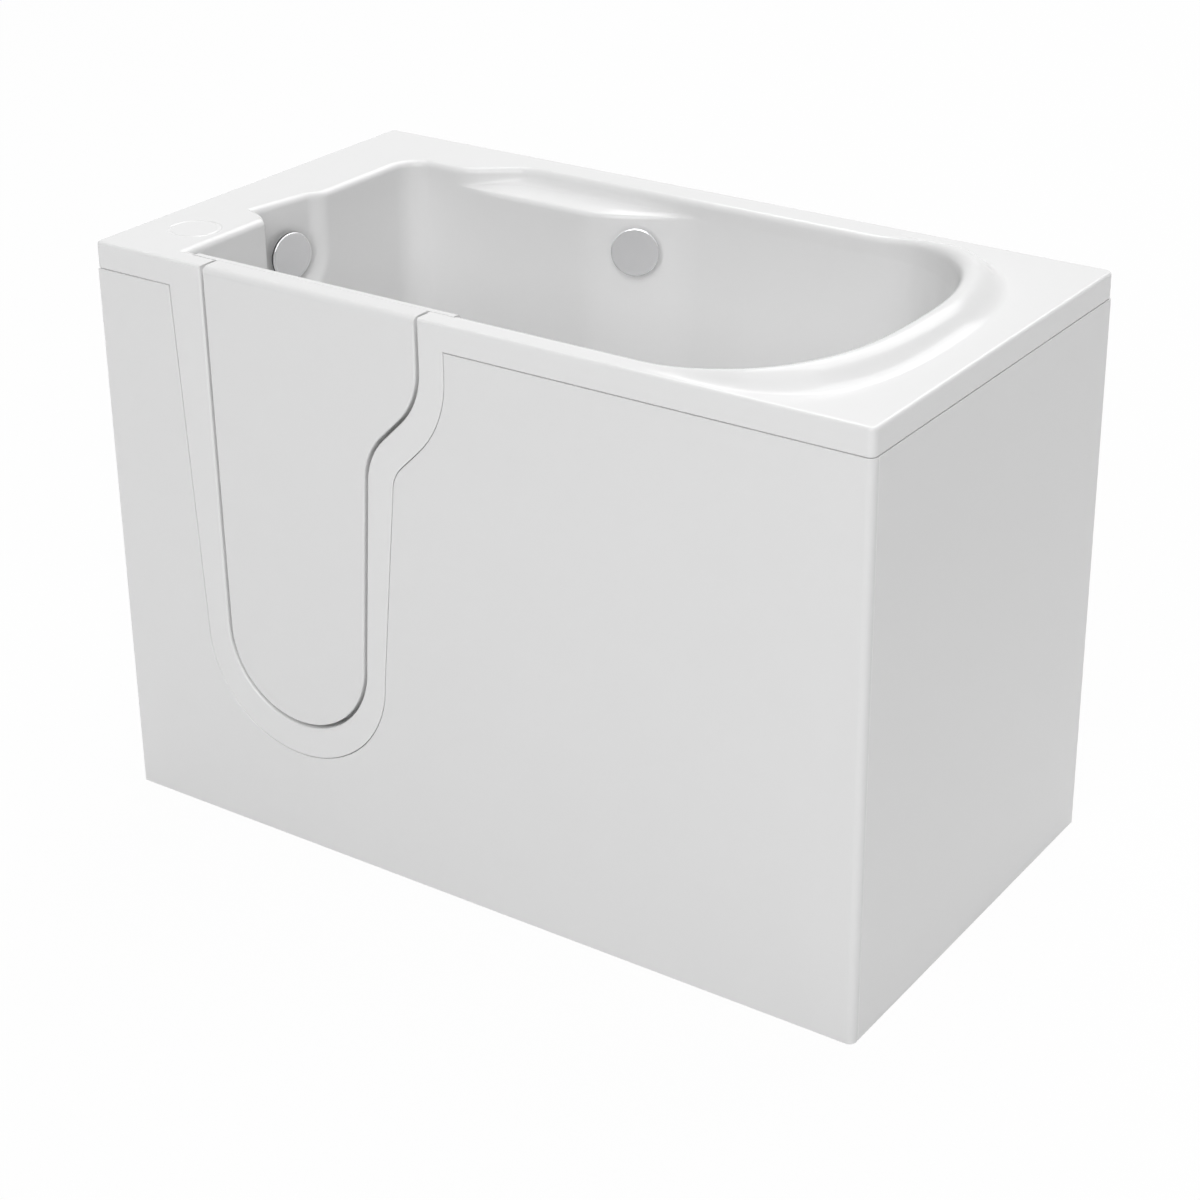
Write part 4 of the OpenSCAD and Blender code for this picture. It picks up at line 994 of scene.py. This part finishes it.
weigh_normals(front_panel, end_panel)
print("panels:", len(front_panel.data.polygons), len(end_panel.data.polygons))

# %% [markdown]
# ## Turned chrome pieces
# The knob, the filler's cover and the plug are turned parts, so each is a profile of radius and
# height carried round its axis. The rim of a disc is a small round, and its face is very slightly
# domed, which keeps its reflections from being dead flat. The knob is a black plastic core with a
# chrome cap on it, which is the dark crescent on its left in the photograph.

# %% Discs and plug
DISC_R, DISC_BACK, DISC_FRONT, DISC_EDGE, DOME = 35.0, 8.0, 14.0, 1.6, 0.3
KNOB_SPLIT, CAP_EDGE = 11.4, 0.2


def disc_profile(stem, back):
    """The stem's steps, then the disc: flat back, edge of two quarter rounds, and a face that is
    DISC_FRONT less DOME times the radius over the rim's radius, squared."""
    a = np.radians(np.linspace(0, 90, 6))
    low = DISC_EDGE if back == DISC_BACK else CAP_EDGE
    edge = [(DISC_R - low * (1 - math.sin(t)), back + low * (1 - math.cos(t))) for t in a]
    brow = DISC_FRONT - DOME - DISC_EDGE
    edge += [(DISC_R - DISC_EDGE * (1 - math.cos(t)), brow + DISC_EDGE * math.sin(t)) for t in a]
    flat_r = DISC_R - DISC_EDGE
    face = [(flat_r * t, DISC_FRONT - DOME * t * t) for t in np.linspace(1, 0.02, 12)[1:]]
    return stem + edge + face


def turned(name, profile, place, axis, body, slot, node):
    """A piece that stands for one CAD node, turned round an axis from its profile."""
    return piece(name, revolved(profile, place, axis, RING_N), body, slot, [node])


cover = disc_profile([(0.5, 2), (13.5, 2), (14, 2.5), (14, DISC_BACK)], DISC_BACK)
turned("filler_disc", cover, FILLER, FILLER_AXIS, "tub", "chrome", "filler_cover")
knob_core = [
    (0.5, -29), (5.6, -29), (6, -28.5), (6, 3.3), (13.5, 3.3), (14, 3.8), (14, 8), (33.4, 8), (34.3, 8.3),
    (34.8, 9), (34.8, KNOB_SPLIT), (0.5, KNOB_SPLIT),
]
turned("knob_core", knob_core, KNOB, KNOB_AXIS, "knob", "black_plastic", "overflow_knob")
knob_cap = disc_profile([(0.5, KNOB_SPLIT)], KNOB_SPLIT)
turned("knob_cap", knob_cap, KNOB, KNOB_AXIS, "knob", "chrome", "overflow_knob")
plug_profile = [
    (0.5, -30), (3.6, -30), (4, -29.6), (4, -0.6), (4.6, 0), (28.2, 0), (28.8, 0.3), (29, 0.9), (29, 2.4),
    (28.6, 3.2), (27.4, 3.8), (24, 4.2), (16, 4.4), (8, 4.48), (0.5, 4.5),
]
turned("plug", plug_profile, WASTE + (0, 0, FLOOR_H + 3.3), UP, "plug", "chrome", "popup_plug")
print("disc profile points:", len(cover))

# %% [markdown]
# ## Fasteners and threads
# Nobody sees the levelling feet with the panels on, but a fitter does. A thread is a tube whose
# radius falls and rises along a helix. A nut is a ring of the smaller of a hexagon and a circle,
# which gives its chamfered corners, and a screw's head is the same with a hexagonal socket.

# %% Threads, nuts and screws
HEX_N, FREE = 36, 99


def hexagon(a, across):
    """The radius of a hexagon of this corner radius in the direction a."""
    return across * math.cos(math.pi / 6) / np.cos((a % (math.pi / 3)) - math.pi / 6)


def threaded(place, start, end, radius, pitch, depth, segments=24):
    """A threaded rod along z: the radius less depth times a triangle wave of z / pitch - angle."""
    z = np.linspace(start, end, max(2, int((end - start) / pitch * 5)))
    a = np.linspace(0, 2 * math.pi, segments, endpoint=False)
    phase = z[:, None] / pitch - a[None, :] / (2 * math.pi)
    wave = 2 * np.abs(phase - np.floor(phase) - 0.5)
    taper = np.minimum(1, np.minimum(z - start, end - z) / pitch)[:, None]
    r = radius - depth * (1 - wave * taper)
    points = np.stack([
        place[0] + r * np.cos(a), place[1] + r * np.sin(a), np.broadcast_to(place[2] + z[:, None], r.shape)
    ], -1)
    return points.reshape(-1, 3), capped_faces(len(z), segments)


def hex_rings(place, axis, rings):
    """Rings (circle radius, hexagon's corner radius, height) along an axis, each point at the
    smaller of the circle and the hexagon, closed at both ends. A size of FREE never limits."""
    axis, a, around = circle_about(axis, HEX_N)
    loops = [np.array(place) + around * np.minimum(r, hexagon(a, h))[:, None] + axis * z for r, h, z in rings]
    return np.concatenate(loops), capped_faces(len(loops), HEX_N)


def gathered(solids):
    """Several solids' points and faces as one pair."""
    points, faces, offset = [], [], 0
    for p, f in solids:
        points.append(p)
        faces += [[i + offset for i in face] for face in f]
        offset += len(p)
    return np.concatenate(points), faces


def screw(place, axis, head=4.6, high=2.2):
    """A domed head with a hexagonal socket, its axis pointing out of the face it sits on."""
    socket = 0.5 * head
    dome = [(head, -1), (head, 0.3), (0.94 * head, 0.45 * high), (0.78 * head, 0.82 * high), (0.6 * head, high)]
    return hex_rings(place, axis, [(r, FREE, z) for r, z in dome] + [
        (FREE, socket, high), (FREE, socket, 0.3 * high), (0.2 * socket, FREE, 0.25 * high)
    ])


LEG_X, LEG_Y = (32.5, 605.0, 1177.5), (52.5, 625.5)
RAIL_Z, FOOT_TOP = 87.0, 12.0
nut = [(8.8, 10, RAIL_Z - 9), (9.9, 10, RAIL_Z - 8.2), (9.9, 10, RAIL_Z - 0.8), (8.8, 10, RAIL_Z)]
legs = [(x, y, 0.0) for y in LEG_Y for x in LEG_X]
studs = [threaded(leg, FOOT_TOP, RAIL_Z - 8.9, 5.0, 2.0, 0.8) for leg in legs]
studs += [hex_rings(leg, UP, nut) for leg in legs]
stud_nodes = [f"{side}_{place}_stud" for side in ("front", "back") for place in ("left", "middle", "right")]
piece("levelling_studs", gathered(studs), "tub", "galvanised", stud_nodes)
HINGE_Z, BRACKET_HOLES = (316.0, 675.0), ((-9, 36), (9, 52))
WALL_HOLES, LEAF_HOLES = (10, 33, 56), ((166, 3), (181, 3), (166, 63), (181, 63))
tub_screws = [screw((135, 72, z + dz), (1, 0, 0), 3.4, 1.8) for z in HINGE_Z for dz in WALL_HOLES]
tub_screws += [screw((638, 43, z), (0, 1, 0), 3.6, 1.9) for z in (768, 786)]
tub_screws += [screw((x + dx, 23.5, z), (0, 1, 0)) for x in (250, 960) for dx, z in BRACKET_HOLES]
tub_screws += [screw((1186.5, y + dy, z), (-1, 0, 0)) for y in (150, 500) for dy, z in BRACKET_HOLES]
tub_screws += [screw((x, 44, 84.5), (0, 0, -1)) for x in (250, 960)]
piece("fixing_screws", gathered(tub_screws), "tub", "stainless")
door_screws = [screw((x, 50, z + dz), (0, 1, 0), 3.4, 1.8) for z in HINGE_Z for x, dz in LEAF_HOLES]
piece("hinge_screws", gathered(door_screws), "door", "stainless")
piece("lever_cap", screw((560, 67, 777), (0, 1, 0), 6.5, 2.4), "latch", "chrome")
print("studs", len(studs) // 2, "screws", len(tub_screws) + len(door_screws))

# %% [markdown]
# ## Rounding the rest
# Tubes, boards, brackets and fittings have the right shape in the CAD frame, but edges that are too
# sharp to catch the light. A copy of each is merged into closed surfaces, its coplanar triangles
# are joined, and a bevel modifier rounds every edge by a small width.


# %% Rounded copies of the CAD pieces
def ending(*ends):
    """The CAD nodes whose names have one of these ends."""
    return [name for name in nodes if name.endswith(ends)]


BODY_OF = {node: body for body, members in frame["record"]["behaviour"]["bodies"].items() for node in members}
DOUBLES, COPLANAR, BEVEL_ANGLE = 1e-5, math.radians(0.5), math.radians(40)
ROUNDED = {
    "galvanised": (0.9, ending("_upright", "_seat_post", "_bracket") + ["base_frame"]),
    "board": (1.2, ["front_batten", "end_batten", "seat_board", "base_board"]),
    "rubber": (1.2, ending("_foot")),
    "black_plastic": (1.0, ["waste_body", "waste_trap", "overflow_body", "overflow_pipe", "filler_body"]),
    "brass": (0.5, ["filler_tail"]),
    "white_plastic": (0.8, ["drain_pipe"]),
    "stainless": (0.5, ending("_wall_leaf", "_door_leaf") + ["latch_tongue", "latch_spindle", "latch_keeper"]),
    "chrome": (
        0.8, ending("_hinge_pin") + ["latch_rose", "latch_lever", "waste_flange", "overflow_plate", "filler_hub"]
    ),
}


def rounded(name, slot, width):
    """A merged copy of the CAD node, with a bevel of this width (mm) on its edges."""
    mesh = nodes[name].data.copy()
    shape = bmesh.new()
    shape.from_mesh(mesh)
    bmesh.ops.remove_doubles(shape, verts=shape.verts, dist=DOUBLES)
    bmesh.ops.dissolve_limit(shape, angle_limit=COPLANAR, verts=shape.verts, edges=shape.edges)
    shape.to_mesh(mesh)
    shape.free()
    made = placed(name + "_rounded", mesh)
    dress(made, BODY_OF[name], slot, [name])
    bevel = made.modifiers.new("edges", "BEVEL")
    bevel.width, bevel.segments = width / 1000, 2
    bevel.limit_method, bevel.angle_limit = "ANGLE", BEVEL_ANGLE
    bevel.harden_normals = True


for slot, (width, names) in ROUNDED.items():
    for name in names:
        rounded(name, slot, width)
left = sorted(set(nodes) - {n for o in bpy.data.objects for n in o.get("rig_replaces", [])})
print("CAD nodes that show as they are:", left)
